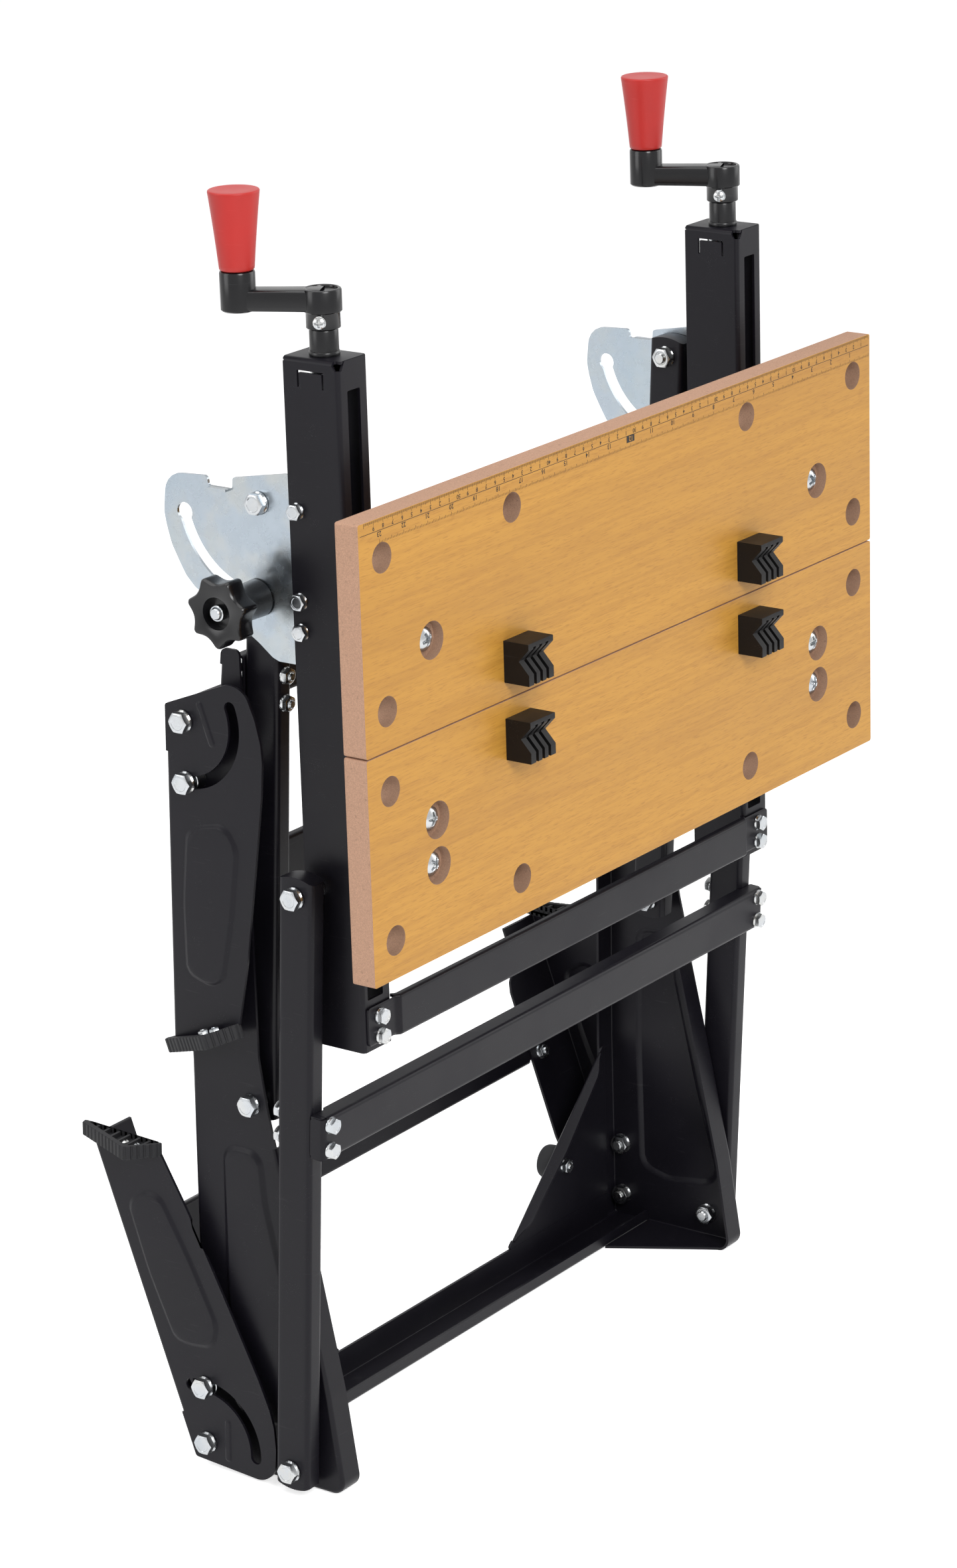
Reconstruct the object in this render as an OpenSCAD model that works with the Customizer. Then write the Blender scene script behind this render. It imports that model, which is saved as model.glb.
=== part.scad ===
// Folding workbench, standing folded on its base
// X runs across the bench, Y from the jaws to the rear, Z up; millimetres
// The origin is the middle of the bottom channel's underside

/* [Jaw boards] */
// Width of each jaw board
board_w = 608; // [590:1:700]
// Height of each jaw board
board_h = 152.5; // [145:0.5:175]
// Thickness of the boards
board_t = 18; // [16:0.5:25]
// Gap between the closed jaws
jaw_gap = 1; // [0.5:0.1:2]
// Diameter of the dog holes
dog_hole_d = 20; // [18:0.5:22]
// Distance from a dog hole's middle to the board's long edge
dog_edge = 26; // [20:0.5:32]
// Distance from an outer dog hole's middle to the board's end
dog_end = 23.6; // [18:0.2:30]
// Diameter of the counterbores for the jaw screws
counterbore_d = 25.2; // [20:0.2:27]
// Depth of the counterbores
counterbore_depth = 8; // [4:0.5:11]

/* [Dogs] */
// Width of a dog's block
dog_w = 28; // [24:0.5:34]
// Height of a dog's block
dog_h = 28.5; // [24:0.5:34]
// Depth of a dog's block in front of the board
dog_depth = 20; // [14:0.5:26]
// Depth of the V groove
dog_groove = 7; // [3:0.5:9]

/* [Table beams] */
// Length of each beam
beam_l = 466; // [450:1:500]
// Width of each beam
beam_w = 31; // [30:0.5:34]
// Depth of each beam
beam_d = 44; // [40:0.5:48]
// Depth of the blocks between the boards and the beams
block_d = 37; // [25:0.5:45]
// Width of the slot in each beam's front
beam_slot_w = 13; // [11:0.5:15]

/* [Screws and cranks] */
// Diameter of each lead screw
screw_d = 12; // [10:0.5:13]
// Radius of each crank, from the screw to the grip
crank_r = 54.5; // [45:0.5:80]
// Height of the crank's arm
crank_arm_h = 14.5; // [10:0.5:18]
// Height of the red grip
grip_h = 51.2; // [40:0.2:70]
// Diameter of the grip at its foot
grip_foot_d = 22.8; // [18:0.2:26]
// Diameter of the grip at its top
grip_top_d = 33.4; // [26:0.2:38]

/* [Linkage] */
// Rise from an arm's lower pivot to its upper pivot
arm_rise = 420; // [405:1:435]
// Forward lean of the arms from pivot to pivot
arm_lean = 25; // [18:1:32]
// Width of the posts and links
arm_w = 28; // [24:0.5:30]
// Thickness of the posts and links
arm_t = 15; // [12:0.5:16]
// Wall of the posts and links
arm_wall = 1.8; // [1.2:0.1:2.4]
// Angle that the linkage folds through
fold_angle = 74; // [50:1:75]
// Radius of the arc slot in the quadrant plates
quadrant_r = 64; // [60:0.5:68]
// Width of the arc slot
quadrant_slot_w = 9; // [8.6:0.2:10]
// Diameter of the star knobs
knob_d = 45; // [38:1:50]

/* [Base] */
// Width over the two side panels
frame_w = 504; // [490:1:540]
// Depth of the side panels
base_d = 118; // [112:1:124]
// Height of the side panels
base_h = 596; // [585:1:610]
// Thickness of all sheet metal
sheet = 2; // [1.6:0.1:2.4]
// Width of the side panels' turned-in flanges
panel_flange = 17; // [12:0.5:20]
// Height of the bottom channel's rear wall
channel_h = 23; // [18:0.5:28]
// Depth of the bottom channel
channel_d = 31; // [24:0.5:40]
// Diameter of the rubber bumpers
bumper_d = 28; // [20:0.5:32]
// Length of the rubber bumpers
bumper_l = 16; // [10:0.5:24]

/* [Legs] */
// Length of each leg from its pivot to its foot
leg_l = 215.5; // [205:0.5:222]
// Width of each leg's side plate at its widest
leg_w = 80; // [74:0.5:84]
// Radius of the arc slot in each leg
leg_slot_r = 42.3; // [39:0.1:45]
// Angle that the legs swing through
leg_swing = 110; // [100:1:112]
// Angle that the lower legs stand open
lower_leg_open = 17.6; // [16:0.2:20]
// Reach of the foot pads outside the legs
foot_reach = 20; // [14:0.5:24]
// Height of the foot pads
foot_h = 10; // [8:0.5:12]

/* [Fasteners] */
// Diameter of the pivot bolts
pivot_d = 8; // [7:0.5:8]
// Diameter of the small bolts
bolt_d = 6; // [5:0.5:6]

/* [Hidden] */

// Colours
black = [0.12, 0.12, 0.13];
zinc = [0.76, 0.78, 0.82];
beech = [0.84, 0.65, 0.33];
red = [0.78, 0.14, 0.15];
rubber = [0.08, 0.08, 0.08];

// Clearances
overrun = 1;
run_fit = 0.05;
loose_fit = 0.3;
side_play = 0.3;
plate_play = 0.5;

// Resolution of round parts
$fn = 48;

// Hexagon fasteners, as multiples of the thread
hex_share = 1.65;
head_share = 0.68;
flange_share = 1.95;
flange_t_share = 0.17;
nut_share = 0.85;

// Across the bench, from the middle outward
panel_out = frame_w / 2;
panel_in = panel_out - sheet;
middle_sleeve = 7.2;
post_out = panel_in - middle_sleeve - side_play;
post_in = post_out - arm_t;
post_mid = (post_in + post_out) / 2;
quadrant_in = post_out + plate_play;
quadrant_out = quadrant_in + sheet;
beam_out = quadrant_out + sheet;
beam_in = beam_out - beam_w;
beam_mid = (beam_in + beam_out) / 2;
link_washer = 2.7;
link_in = panel_out + link_washer + side_play;
link_out = link_in + arm_t;
link_mid = (link_in + link_out) / 2;
leg_sleeve = 9.7;
leg_in = panel_out + leg_sleeve + side_play;
leg_out = leg_in + sheet;

// Places on the side panels, as shares of the depth and the height
middle_pivot_shares = [0.551, 0.463];
foot_pivot_shares = [0.254, 0.0336];
upper_leg_pivot_shares = [0.822, 0.9144];
lower_leg_pivot_shares = [0.915, 0.0319];
base_rear = sheet + channel_d / 2;
base_front = base_rear - base_d;
function panel_point(shares) = [base_front + base_d * shares[0], base_h * shares[1]];
middle_pivot = panel_point(middle_pivot_shares);
foot_pivot = panel_point(foot_pivot_shares);
upper_leg_pivot = panel_point(upper_leg_pivot_shares);
lower_leg_pivot = panel_point(lower_leg_pivot_shares);
arm = [-arm_lean, arm_rise];
arm_l = norm(arm);
arm_tilt = atan2(arm_lean, arm_rise);
table_pivot = middle_pivot + arm;
link_top_pivot = foot_pivot + arm;

// Table beams, placed from the table pivot
beam_gap = 12;
beam_top_over_pivot = 100;
beam_rear = table_pivot[0] - arm_w / 2 - beam_gap;
beam_front = beam_rear - beam_d;
beam_top = table_pivot[1] + beam_top_over_pivot;
beam_bottom = beam_top - beam_l;
slot_top_gap = 20;
slot_bottom_gap = 36;
slot_wide = 3.5;
slot_wide_h = 13;

// Boards
board_back = beam_front - block_d;
board_front = board_back - board_t;
board_top_under_beam = 85;
upper_board_top = beam_top - board_top_under_beam;
upper_board_bottom = upper_board_top - board_h;
lower_board_top = upper_board_bottom - jaw_gap;
lower_board_bottom = lower_board_top - board_h;
dog_outer_x = board_w / 2 - dog_end;
dog_inner_x = dog_outer_x / 2;
dog_hole_xs = [-dog_outer_x, -dog_inner_x, dog_inner_x, dog_outer_x];
moving_screw_over_edge = 60.3;
fixed_screw_under_edge = 59.2;
fixed_screw_pitch = 31;
moving_screw_z = upper_board_bottom + moving_screw_over_edge;
fixed_screw_z = lower_board_top - fixed_screw_under_edge;
fixed_screw_zs = [fixed_screw_z, fixed_screw_z - fixed_screw_pitch];
upper_dog_z = upper_board_bottom + dog_edge;
lower_dog_z = lower_board_top - dog_edge;

// Screws and cranks
screw_y = beam_front + beam_d / 2;
screw_under_carriage = 10;
bearing_d = 20;
bearing_h = 17.3;
thrust_h = 9;
collar_d = 22.2;
collar_h = 10.5;
hub_d = 25;
hub_h = 15;
boss_d = 23;
boss_h = 11.4;
grip_pin_d = 10;
grip_roof = 6;
grip_edge = 1;
cross_screw_d = 7.6;
cross_screw_h = 3;
left_crank_turn = 115.5;
right_crank_turn = 113.2;
bearing_top = beam_top + bearing_h;
collar_bottom = bearing_top + side_play;
hub_bottom = collar_bottom + collar_h;
arm_top = hub_bottom + crank_arm_h;
boss_top = arm_top + boss_h;
grip_bottom = boss_top + side_play;

// Carriages of the moving jaw
carriage_w = 30;
carriage_h = 42;
carriage_in_w = 21;
carriage_in_d = 27.4;

// Quadrant plate, as shares of the slot's radius from the table pivot
quadrant_outline_shares = [[-0.62, 0.34], [-0.33, 0.34], [0.33, 0.22], [0.34, 0.10], [0.61, 0.085],
    [0.67, 0.16], [0.73, 0.08], [1.03, 0.08], [1.20, -0.06], [1.25, -0.25], [1.22, -0.40],
    [1.17, -0.58], [1.08, -0.75], [1.0, -0.89], [0.89, -1.0], [0.27, -1.36], [0.08, -1.48],
    [-0.09, -1.61], [-0.17, -1.64], [-0.62, -1.64]];
quadrant_bolt_shares = [[-0.508, -0.016], [-0.508, -0.953], [-0.508, -1.273]];
quadrant_end_d = 12.6;
quadrant_start = -90 + arm_tilt;

// Knobs and their studs
stud_lobe_d = 11;
knob_shank_d = 26;
knob_shank_l = 29.2;
knob_star_l = 15;
knob_lobes = 7;
knob_recess_d = 21;
knob_recess_depth = 7;
knob_point = table_pivot - quadrant_r * [-sin(arm_tilt), cos(arm_tilt)];
knob_in = quadrant_out + plate_play;
knob_star_in = knob_in + knob_shank_l;
knob_out = knob_star_in + knob_star_l;

// Crossbars
beam_bar_h = 29;
beam_bar_over_end = 3;
beam_bar_step = 3;
beam_bar_lip = 5;
beam_bar_bolt_rises = [6, 20];
link_bar_low = 229;
link_bar_h = 36;
link_bar_d = 11.4;
link_bar_flange = 13;
link_ear_low = 238;
link_ear_h = 31;
link_bolt_rises = [245, 263];
post_bar_low = 276;
post_bar_h = 37;
post_bar_lip = 8;
post_bolt_rises = [285, 304];
leg_bar_low = 122;
leg_bar_h = 32;
leg_bar_lip = 6;
leg_bar_bolt_rises = [127.5, 147];

// Side panel outline, as shares of the depth and the height
panel_front_shares = [[0.076, 0.121], [0.267, 0.304], [0.436, 0.46], [0.483, 0.52]];
panel_top_shares = [[0.483, 1], [0.602, 1], [0.636, 0.99], [0.636, 0.956], [0.89, 0.933]];
panel_rear_shares = [[0.935, 0.7], [0.975, 0.57], [0.975, 0.5], [1, 0.25]];
panel_rear_flange_shares = [[0.915, 0.8], [0.935, 0.7], [0.975, 0.57], [0.975, 0.5], [1, 0.25], [1, 0]];
front_flange_top_shares = [0.397, 0.423];
panel_corner_r = 10;

// Gussets and bumpers
gusset_low_x = 104;
gusset_top_z = 147;
gusset_edge = 4;
gusset_turn = 12;
gusset_turn_shares = [[0, 0], [0.12, 0.75], [0.5, 1], [0.88, 0.75], [1, 0]];
gusset_out = panel_in - panel_flange + gusset_edge;
channel_end_gap = 14;
channel_lip = 8;
bumper_x = 180;
bumper_z = 66;

// Legs, drawn hanging upward from the pivot with the foot at the top
leg_front_shares = [[0.19, -0.045], [-0.5, -0.146], [-0.66, -0.125], [-0.75, -0.046], [-0.8, 0.028],
    [-0.81, 0.088], [-0.785, 0.195], [-0.7, 0.41], [-0.55, 0.766], [-0.475, 1]];
leg_rear_lean = 1.82;
leg_rear_y = 15.5;
leg_rear_z = -9.7;
leg_flange_in = 210;
leg_flange_end_in = 224;
leg_flange_shares = [0.16, 0.3, 0.9, 0.97, 1.08];
leg_plate_end_y = -38;
foot_l = 68;
foot_tilt = leg_swing - 90;
foot_apex_share = 0.25;
foot_wall = 2.5;
foot_floor = 2;
foot_recess = 4;
foot_inner = 1.5;
foot_screw_d = 4;
foot_screw_shares = [0.26, 0.41];
foot_screw_out = 5.5;
leg_spare_hole_rise = 111;
leg_spare_hole_x = 216;
leg_bar_bolt_x = 222;
leg_bar_end = 232;
leg_slot_w = 9;

// Draws for both sides: side is 1 for the right and -1 for the left
module sided(side) {
    mirror([side < 0 ? 1 : 0, 0, 0]) children();
}

// Extrudes an outline drawn in Y and Z from one X to another
module slab_x(x0, x1) {
    translate([x0, 0, 0]) rotate([90, 0, 90]) linear_extrude(x1 - x0) children();
}

// Extrudes an outline drawn in X and Z from one Y to another
module slab_y(y0, y1) {
    translate([0, y1, 0]) rotate([90, 0, 0]) linear_extrude(y1 - y0) children();
}

// Cylinder along X
module rod_x(d, x0, x1, place) {
    translate([x0, place[0], place[1]]) rotate([0, 90, 0]) cylinder(d = d, h = x1 - x0);
}

// Cylinder along Y
module rod_y(d, y0, y1, x, z) {
    translate([x, y0, z]) rotate([-90, 0, 0]) cylinder(d = d, h = y1 - y0);
}

// Hexagon bolt along Z: the head's seat is at zero and the shank runs down
module hex_bolt(d, l) {
    cylinder(d = d * flange_share, h = d * flange_t_share);
    cylinder(d = d * hex_share / cos(30), h = d * (head_share + flange_t_share), $fn = 6);
    translate([0, 0, -l]) cylinder(d = d, h = l);
}

// Flange nut along Z: its seat is at zero and it stands up
module hex_nut(d) {
    difference() {
        union() {
            cylinder(d = d * flange_share, h = d * flange_t_share);
            cylinder(d = d * hex_share / cos(30), h = d * nut_share, $fn = 6);
        }
        translate([0, 0, -overrun]) cylinder(d = d + 2 * run_fit, h = d * nut_share + 2 * overrun);
    }
}

// Bolt along X with its head outside, and a nut on its inner end
module bolt_x(d, seat, nut_seat, place) {
    tail = d * (nut_share + flange_t_share);
    translate([seat, place[0], place[1]]) rotate([0, 90, 0]) hex_bolt(d, seat - nut_seat + tail);
    translate([nut_seat, place[0], place[1]]) rotate([0, -90, 0]) hex_nut(d);
}

// Bolt along Y with its head in front, and a nut behind
module bolt_y(d, seat, nut_seat, x, z) {
    tail = d * (nut_share + flange_t_share);
    translate([x, seat, z]) rotate([90, 0, 0]) hex_bolt(d, nut_seat - seat + tail);
    translate([x, nut_seat, z]) rotate([-90, 0, 0]) hex_nut(d);
}

// Sleeve along X round a bolt
module sleeve_x(d, x0, x1, place) {
    difference() {
        rod_x(d * flange_share, x0, x1, place);
        rod_x(d + 2 * run_fit, x0 - overrun, x1 + overrun, place);
    }
}

// Places children in a frame that stands on a pivot and leans with the arms
module on_arm(pivot) {
    translate([0, pivot[0], pivot[1]]) rotate([arm_tilt, 0, 0]) children();
}

// Flat tube with round ends from pivot to pivot, with both pivot bores
module arm_tube(x0, x1, pivot, low_bore, high_bore) {
    on_arm(pivot) difference() {
        slab_x(x0, x1) union() {
            translate([-arm_w / 2, 0]) square([arm_w, arm_l]);
            circle(d = arm_w);
            translate([0, arm_l]) circle(d = arm_w);
        }
        translate([x0 + arm_wall, arm_wall - arm_w / 2, -arm_w])
            cube([x1 - x0 - 2 * arm_wall, arm_w - 2 * arm_wall, arm_l + 2 * arm_w]);
        rod_x(low_bore, x0 - overrun, x1 + overrun, [0, 0]);
        rod_x(high_bore, x0 - overrun, x1 + overrun, [0, arm_l]);
        children();
    }
}

// Side panels of the base

function panel_points(shares) = [for (s = shares) panel_point(s)];

// Strip along a run of points, one sheet thick toward the panel's middle
module flange_strip(points, turn) {
    back = [for (i = [len(points) - 1 : -1 : 0]) points[i] + [turn * sheet, 0]];
    polygon(concat(points, back));
}

module panel_outline() {
    low_front = [base_front, panel_corner_r];
    low_front_end = [base_front + panel_corner_r, 0];
    polygon(concat([low_front_end, low_front], panel_points(panel_front_shares),
        panel_points(panel_top_shares), panel_points(panel_rear_shares), [[base_rear, 0]]));
    translate([base_front + panel_corner_r, panel_corner_r]) circle(r = panel_corner_r);
}

module panel_flanges() {
    corner = [base_front + panel_corner_r, panel_corner_r];
    flange_strip(panel_points(panel_rear_flange_shares), -1);
    flange_strip(concat([[base_front, panel_corner_r]], [panel_point(panel_front_shares[0]),
        panel_point(panel_front_shares[1]), panel_point(front_flange_top_shares)]), 1);
    translate([corner[0], 0]) square([base_d - panel_corner_r - sheet - channel_d - loose_fit, sheet]);
    difference() {
        translate(corner) circle(r = panel_corner_r);
        translate(corner) circle(r = panel_corner_r - sheet);
        translate([corner[0], -overrun]) square([base_d, base_h]);
        translate([corner[0] - base_d, panel_corner_r]) square([2 * base_d, base_h]);
    }
}

module base_panel(side) {
    guide = [0, leg_slot_r];
    bores = [middle_pivot, foot_pivot, upper_leg_pivot, upper_leg_pivot - guide,
        lower_leg_pivot, lower_leg_pivot + guide];
    color(black) sided(side) difference() {
        union() {
            slab_x(panel_in, panel_out) panel_outline();
            slab_x(panel_in - panel_flange, panel_out) panel_flanges();
        }
        for (place = bores)
            rod_x(pivot_d + 2 * run_fit, panel_in - overrun, panel_out + overrun, place);
    }
}

module base_panel_left() base_panel(-1);
module base_panel_right() base_panel(1);

// Channel along the floor between the panels, in front of their rear flanges
module bottom_channel() {
    wall_end = panel_in - channel_end_gap;
    color(black) {
        translate([-panel_in, -channel_d / 2, 0]) cube([2 * panel_in, channel_d, sheet]);
        translate([-wall_end, channel_d / 2 - sheet, 0]) cube([2 * wall_end, sheet, channel_h]);
        translate([-panel_in, -channel_d / 2, 0]) cube([2 * panel_in, sheet, channel_lip + sheet]);
    }
}

// Triangular brace in a panel's lower rear corner, its sloping edge turned forward
module gusset(side) {
    rear = channel_d / 2;
    low = channel_h;
    run = gusset_out - gusset_low_x;
    rise = gusset_top_z - low;
    slope = norm([run, rise]);
    color(black) sided(side) difference() {
        union() {
            slab_y(rear - sheet, rear)
                polygon([[gusset_low_x, low], [gusset_out, low], [gusset_out, gusset_top_z]]);
            translate([gusset_low_x, rear, low]) rotate([0, -atan2(rise, run), 0])
                translate([0, 0, -sheet]) linear_extrude(sheet)
                    polygon([for (s = gusset_turn_shares) [slope * s[0], -sheet / 2 - gusset_turn * s[1]]]);
        }
        rod_y(bolt_d + 2 * run_fit, rear - gusset_turn, rear + overrun, bumper_x, bumper_z);
        translate([gusset_low_x, rear - 2 * gusset_turn, low - gusset_turn])
            cube([gusset_turn, 4 * gusset_turn, gusset_turn]);
    }
}

module gusset_left() gusset(-1);
module gusset_right() gusset(1);

// Rubber bumper behind a gusset, with a sunk bolt
module bumper(side) {
    rear = channel_d / 2;
    color(rubber) sided(side) difference() {
        rod_y(bumper_d, rear, rear + bumper_l, bumper_x, bumper_z);
        rod_y(bolt_d + 2 * run_fit, rear - overrun, rear + bumper_l + overrun, bumper_x, bumper_z);
        rod_y(bolt_d * flange_share + 2 * overrun, rear + bumper_l / 2, rear + bumper_l + overrun,
            bumper_x, bumper_z);
    }
}

module bumper_left() bumper(-1);
module bumper_right() bumper(1);

module bumper_fasteners() {
    rear = channel_d / 2;
    seat = rear + bumper_l / 2;
    color(zinc) for (side = [-1, 1]) sided(side) {
        translate([bumper_x, seat, bumper_z]) rotate([-90, 0, 0])
            hex_bolt(bolt_d, bumper_l / 2 + sheet + bolt_d * (nut_share + flange_t_share));
        translate([bumper_x, rear - sheet, bumper_z]) rotate([90, 0, 0]) hex_nut(bolt_d);
    }
}

// Pivot bolts of the posts, with a sleeve between panel and post
module middle_pivot_fasteners() {
    color(zinc) for (side = [-1, 1]) sided(side) {
        bolt_x(pivot_d, panel_out, post_in - side_play, middle_pivot);
        sleeve_x(pivot_d, panel_in - middle_sleeve, panel_in, middle_pivot);
    }
}

// Pivot bolts of the links' feet, with a washer between panel and link
module foot_pivot_fasteners() {
    color(zinc) for (side = [-1, 1]) sided(side) {
        bolt_x(pivot_d, link_out + side_play, panel_in, foot_pivot);
        sleeve_x(pivot_d, panel_out, panel_out + link_washer, foot_pivot);
    }
}

// Pivot and guide bolts of all the legs, with sleeves between panel and leg
module leg_fasteners() {
    guide = [0, leg_slot_r];
    places = [upper_leg_pivot, upper_leg_pivot - guide, lower_leg_pivot, lower_leg_pivot + guide];
    color(zinc) for (side = [-1, 1]) sided(side) for (place = places) {
        bolt_x(pivot_d, leg_out + side_play, panel_in, place);
        sleeve_x(pivot_d, panel_out, panel_out + leg_sleeve, place);
    }
}

// Posts

module post(side) {
    knob_rise = arm_l - quadrant_r;
    color(black) sided(side)
        arm_tube(post_in, post_out, middle_pivot, pivot_d + 2 * run_fit, pivot_d + 2 * run_fit) {
            rod_x(pivot_d + 2 * run_fit, post_in - overrun, post_out + overrun, [0, knob_rise]);
            for (rise = post_bolt_rises)
                rod_y(bolt_d + 2 * run_fit, -arm_w, arm_w, post_mid, rise);
        }
}

module post_left() post(-1);
module post_right() post(1);

// Channel bolted behind the posts
module post_crossbar() {
    rear = arm_w / 2;
    color(black) on_arm(middle_pivot) difference() {
        union() {
            translate([-post_out, rear, post_bar_low]) cube([2 * post_out, sheet, post_bar_h]);
            for (z = [post_bar_low, post_bar_low + post_bar_h - sheet])
                translate([-post_out, rear, z]) cube([2 * post_out, post_bar_lip, sheet]);
        }
        for (x = [-post_mid, post_mid], rise = post_bolt_rises)
            rod_y(bolt_d + 2 * run_fit, rear - overrun, rear + sheet + overrun, x, rise);
    }
}

module post_crossbar_fasteners() {
    color(zinc) on_arm(middle_pivot) for (x = [-post_mid, post_mid], rise = post_bolt_rises)
        mirror([0, 1, 0]) bolt_y(bolt_d, -arm_w / 2 - sheet, arm_w / 2, x, rise);
}

module table_pivot_fasteners() {
    color(zinc) for (side = [-1, 1]) sided(side)
        bolt_x(pivot_d, quadrant_out + side_play, post_in, table_pivot);
}

// Studs of the knobs: a round head inside the post, a nut in the knob's recess
module knob_studs() {
    nut_seat = knob_out - knob_recess_depth + side_play;
    color(zinc) for (side = [-1, 1]) sided(side) {
        rod_x(pivot_d, post_in - sheet, nut_seat + pivot_d * nut_share, knob_point);
        rod_x(stud_lobe_d, post_in - sheet, post_in, knob_point);
        translate([nut_seat, knob_point[0], knob_point[1]]) rotate([0, 90, 0])
            cylinder(d = pivot_d * hex_share / cos(30), h = pivot_d * nut_share, $fn = 6);
    }
}

// Star knob: shank, lobes, recess
module knob(side) {
    lobe_d = knob_d * 0.27;
    lobe_r = (knob_d - lobe_d) / 2;
    color(black) sided(side) difference() {
        union() {
            rod_x(knob_shank_d, knob_in, knob_star_in + overrun, knob_point);
            rod_x(2 * lobe_r, knob_star_in, knob_out, knob_point);
            for (i = [0 : knob_lobes - 1])
                rod_x(lobe_d, knob_star_in, knob_out,
                    knob_point + lobe_r * [cos(i * 360 / knob_lobes), sin(i * 360 / knob_lobes)]);
        }
        rod_x(pivot_d + 2 * run_fit, knob_in - overrun, knob_out, knob_point);
        rod_x(knob_recess_d, knob_out - knob_recess_depth, knob_out + overrun, knob_point);
    }
}

module knob_left() knob(-1);
module knob_right() knob(1);

// Links

module link(side) {
    color(black) sided(side)
        arm_tube(link_in, link_out, foot_pivot, pivot_d + 2 * run_fit, pivot_d + 2 * loose_fit)
            for (rise = link_bolt_rises)
                rod_y(bolt_d + 2 * run_fit, -arm_w, arm_w, link_mid, rise);
}

module link_left() link(-1);
module link_right() link(1);

// Channel in front of the links, its ends run on across them
module link_crossbar() {
    front = -arm_w / 2 - link_bar_d;
    half = link_in - side_play;
    color(black) on_arm(foot_pivot) difference() {
        union() {
            translate([-half, front, link_bar_low]) cube([2 * half, sheet, link_bar_h]);
            for (z = [link_bar_low, link_bar_low + link_bar_h - sheet])
                translate([-half, front, z]) cube([2 * half, link_bar_flange, sheet]);
            for (x = [-link_out, half - sheet])
                translate([x, front, link_ear_low]) cube([link_out - half + sheet, sheet, link_ear_h]);
            for (x = [-link_out, link_out - sheet])
                translate([x, front, link_ear_low]) cube([sheet, link_bar_d, link_ear_h]);
        }
        for (x = [-link_mid, link_mid], rise = link_bolt_rises)
            rod_y(bolt_d + 2 * run_fit, front - overrun, front + sheet + overrun, x, rise);
    }
}

module link_crossbar_fasteners() {
    color(zinc) on_arm(foot_pivot) for (x = [-link_mid, link_mid], rise = link_bolt_rises)
        bolt_y(bolt_d, -arm_w / 2 - link_bar_d, arm_w / 2, x, rise);
}

// Table beams: channels open to the rear, closed at the top, slotted in front

module beam(side) {
    slot_bottom = beam_bottom + slot_bottom_gap;
    slot_top = beam_top - slot_top_gap;
    color(black) sided(side) difference() {
        translate([beam_in, beam_front, beam_bottom]) cube([beam_w, beam_d, beam_l]);
        translate([beam_in + sheet, beam_front + sheet, beam_bottom - overrun])
            cube([beam_w - 2 * sheet, beam_d, beam_l + overrun - sheet]);
        translate([beam_mid - beam_slot_w / 2, beam_front - overrun, slot_bottom])
            cube([beam_slot_w, sheet + 2 * overrun, slot_top - slot_bottom]);
        translate([beam_mid - side * slot_wide - beam_slot_w / 2, beam_front - overrun, slot_bottom])
            cube([beam_slot_w, sheet + 2 * overrun, slot_wide_h]);
        translate([beam_mid, screw_y, beam_top - sheet - overrun])
            cylinder(d = screw_d + 2 * loose_fit, h = sheet + 2 * overrun);
        rod_x(pivot_d + 2 * run_fit, beam_mid, beam_out + overrun, link_top_pivot);
        for (s = quadrant_bolt_shares)
            rod_x(bolt_d + 2 * run_fit, beam_mid, beam_out + overrun, table_pivot + quadrant_r * s);
        for (rise = beam_bar_bolt_rises)
            rod_y(bolt_d + 2 * run_fit, beam_front - overrun, beam_front + sheet + overrun,
                beam_mid, beam_bottom + beam_bar_over_end + rise);
    }
}

module beam_left() beam(-1);
module beam_right() beam(1);

// Band of an arc slot about the origin, with the given ends
module arc_band(r, w, a0, a1) {
    reach = 2 * r;
    steps = 4;
    intersection() {
        difference() {
            circle(r = r + w / 2);
            circle(r = r - w / 2);
        }
        polygon(concat([[0, 0]], [for (i = [0 : steps])
            reach * [cos(a0 + (a1 - a0) * i / steps), sin(a0 + (a1 - a0) * i / steps)]]));
    }
}

module quadrant(side) {
    slot_end = quadrant_start + fold_angle;
    color(zinc) sided(side) difference() {
        slab_x(quadrant_in, quadrant_out) translate(table_pivot) difference() {
            polygon([for (s = quadrant_outline_shares) quadrant_r * s]);
            circle(d = pivot_d + 2 * run_fit);
            arc_band(quadrant_r, quadrant_slot_w, quadrant_start, slot_end);
            for (a = [quadrant_start, slot_end])
                translate(quadrant_r * [cos(a), sin(a)]) circle(d = quadrant_end_d);
        }
        for (s = quadrant_bolt_shares)
            rod_x(bolt_d + 2 * run_fit, quadrant_in - overrun, quadrant_out + overrun,
                table_pivot + quadrant_r * s);
    }
}

module quadrant_left() quadrant(-1);
module quadrant_right() quadrant(1);

module quadrant_fasteners() {
    color(zinc) for (side = [-1, 1]) sided(side) for (s = quadrant_bolt_shares)
        bolt_x(bolt_d, beam_out, quadrant_in, table_pivot + quadrant_r * s);
}

// Bar across the beams' lower ends, stepped forward between them
module beam_crossbar() {
    low = beam_bottom + beam_bar_over_end;
    face = beam_front - sheet;
    front = face - beam_bar_step;
    color(black) difference() {
        union() {
            for (x = [-beam_out + beam_bar_step, beam_in - sheet])
                translate([x, face, low]) cube([beam_w - beam_bar_step + sheet, sheet, beam_bar_h]);
            translate([-beam_in, front, low]) cube([2 * beam_in, sheet, beam_bar_h]);
            for (x = [-beam_in, beam_in - sheet])
                translate([x, front, low]) cube([sheet, beam_bar_step + sheet, beam_bar_h]);
            for (z = [low, low + beam_bar_h - sheet])
                translate([-beam_in, front, z]) cube([2 * beam_in, beam_bar_lip, sheet]);
        }
        for (x = [-beam_mid, beam_mid], rise = beam_bar_bolt_rises)
            rod_y(bolt_d + 2 * run_fit, face - overrun, beam_front + overrun, x, low + rise);
    }
}

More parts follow.
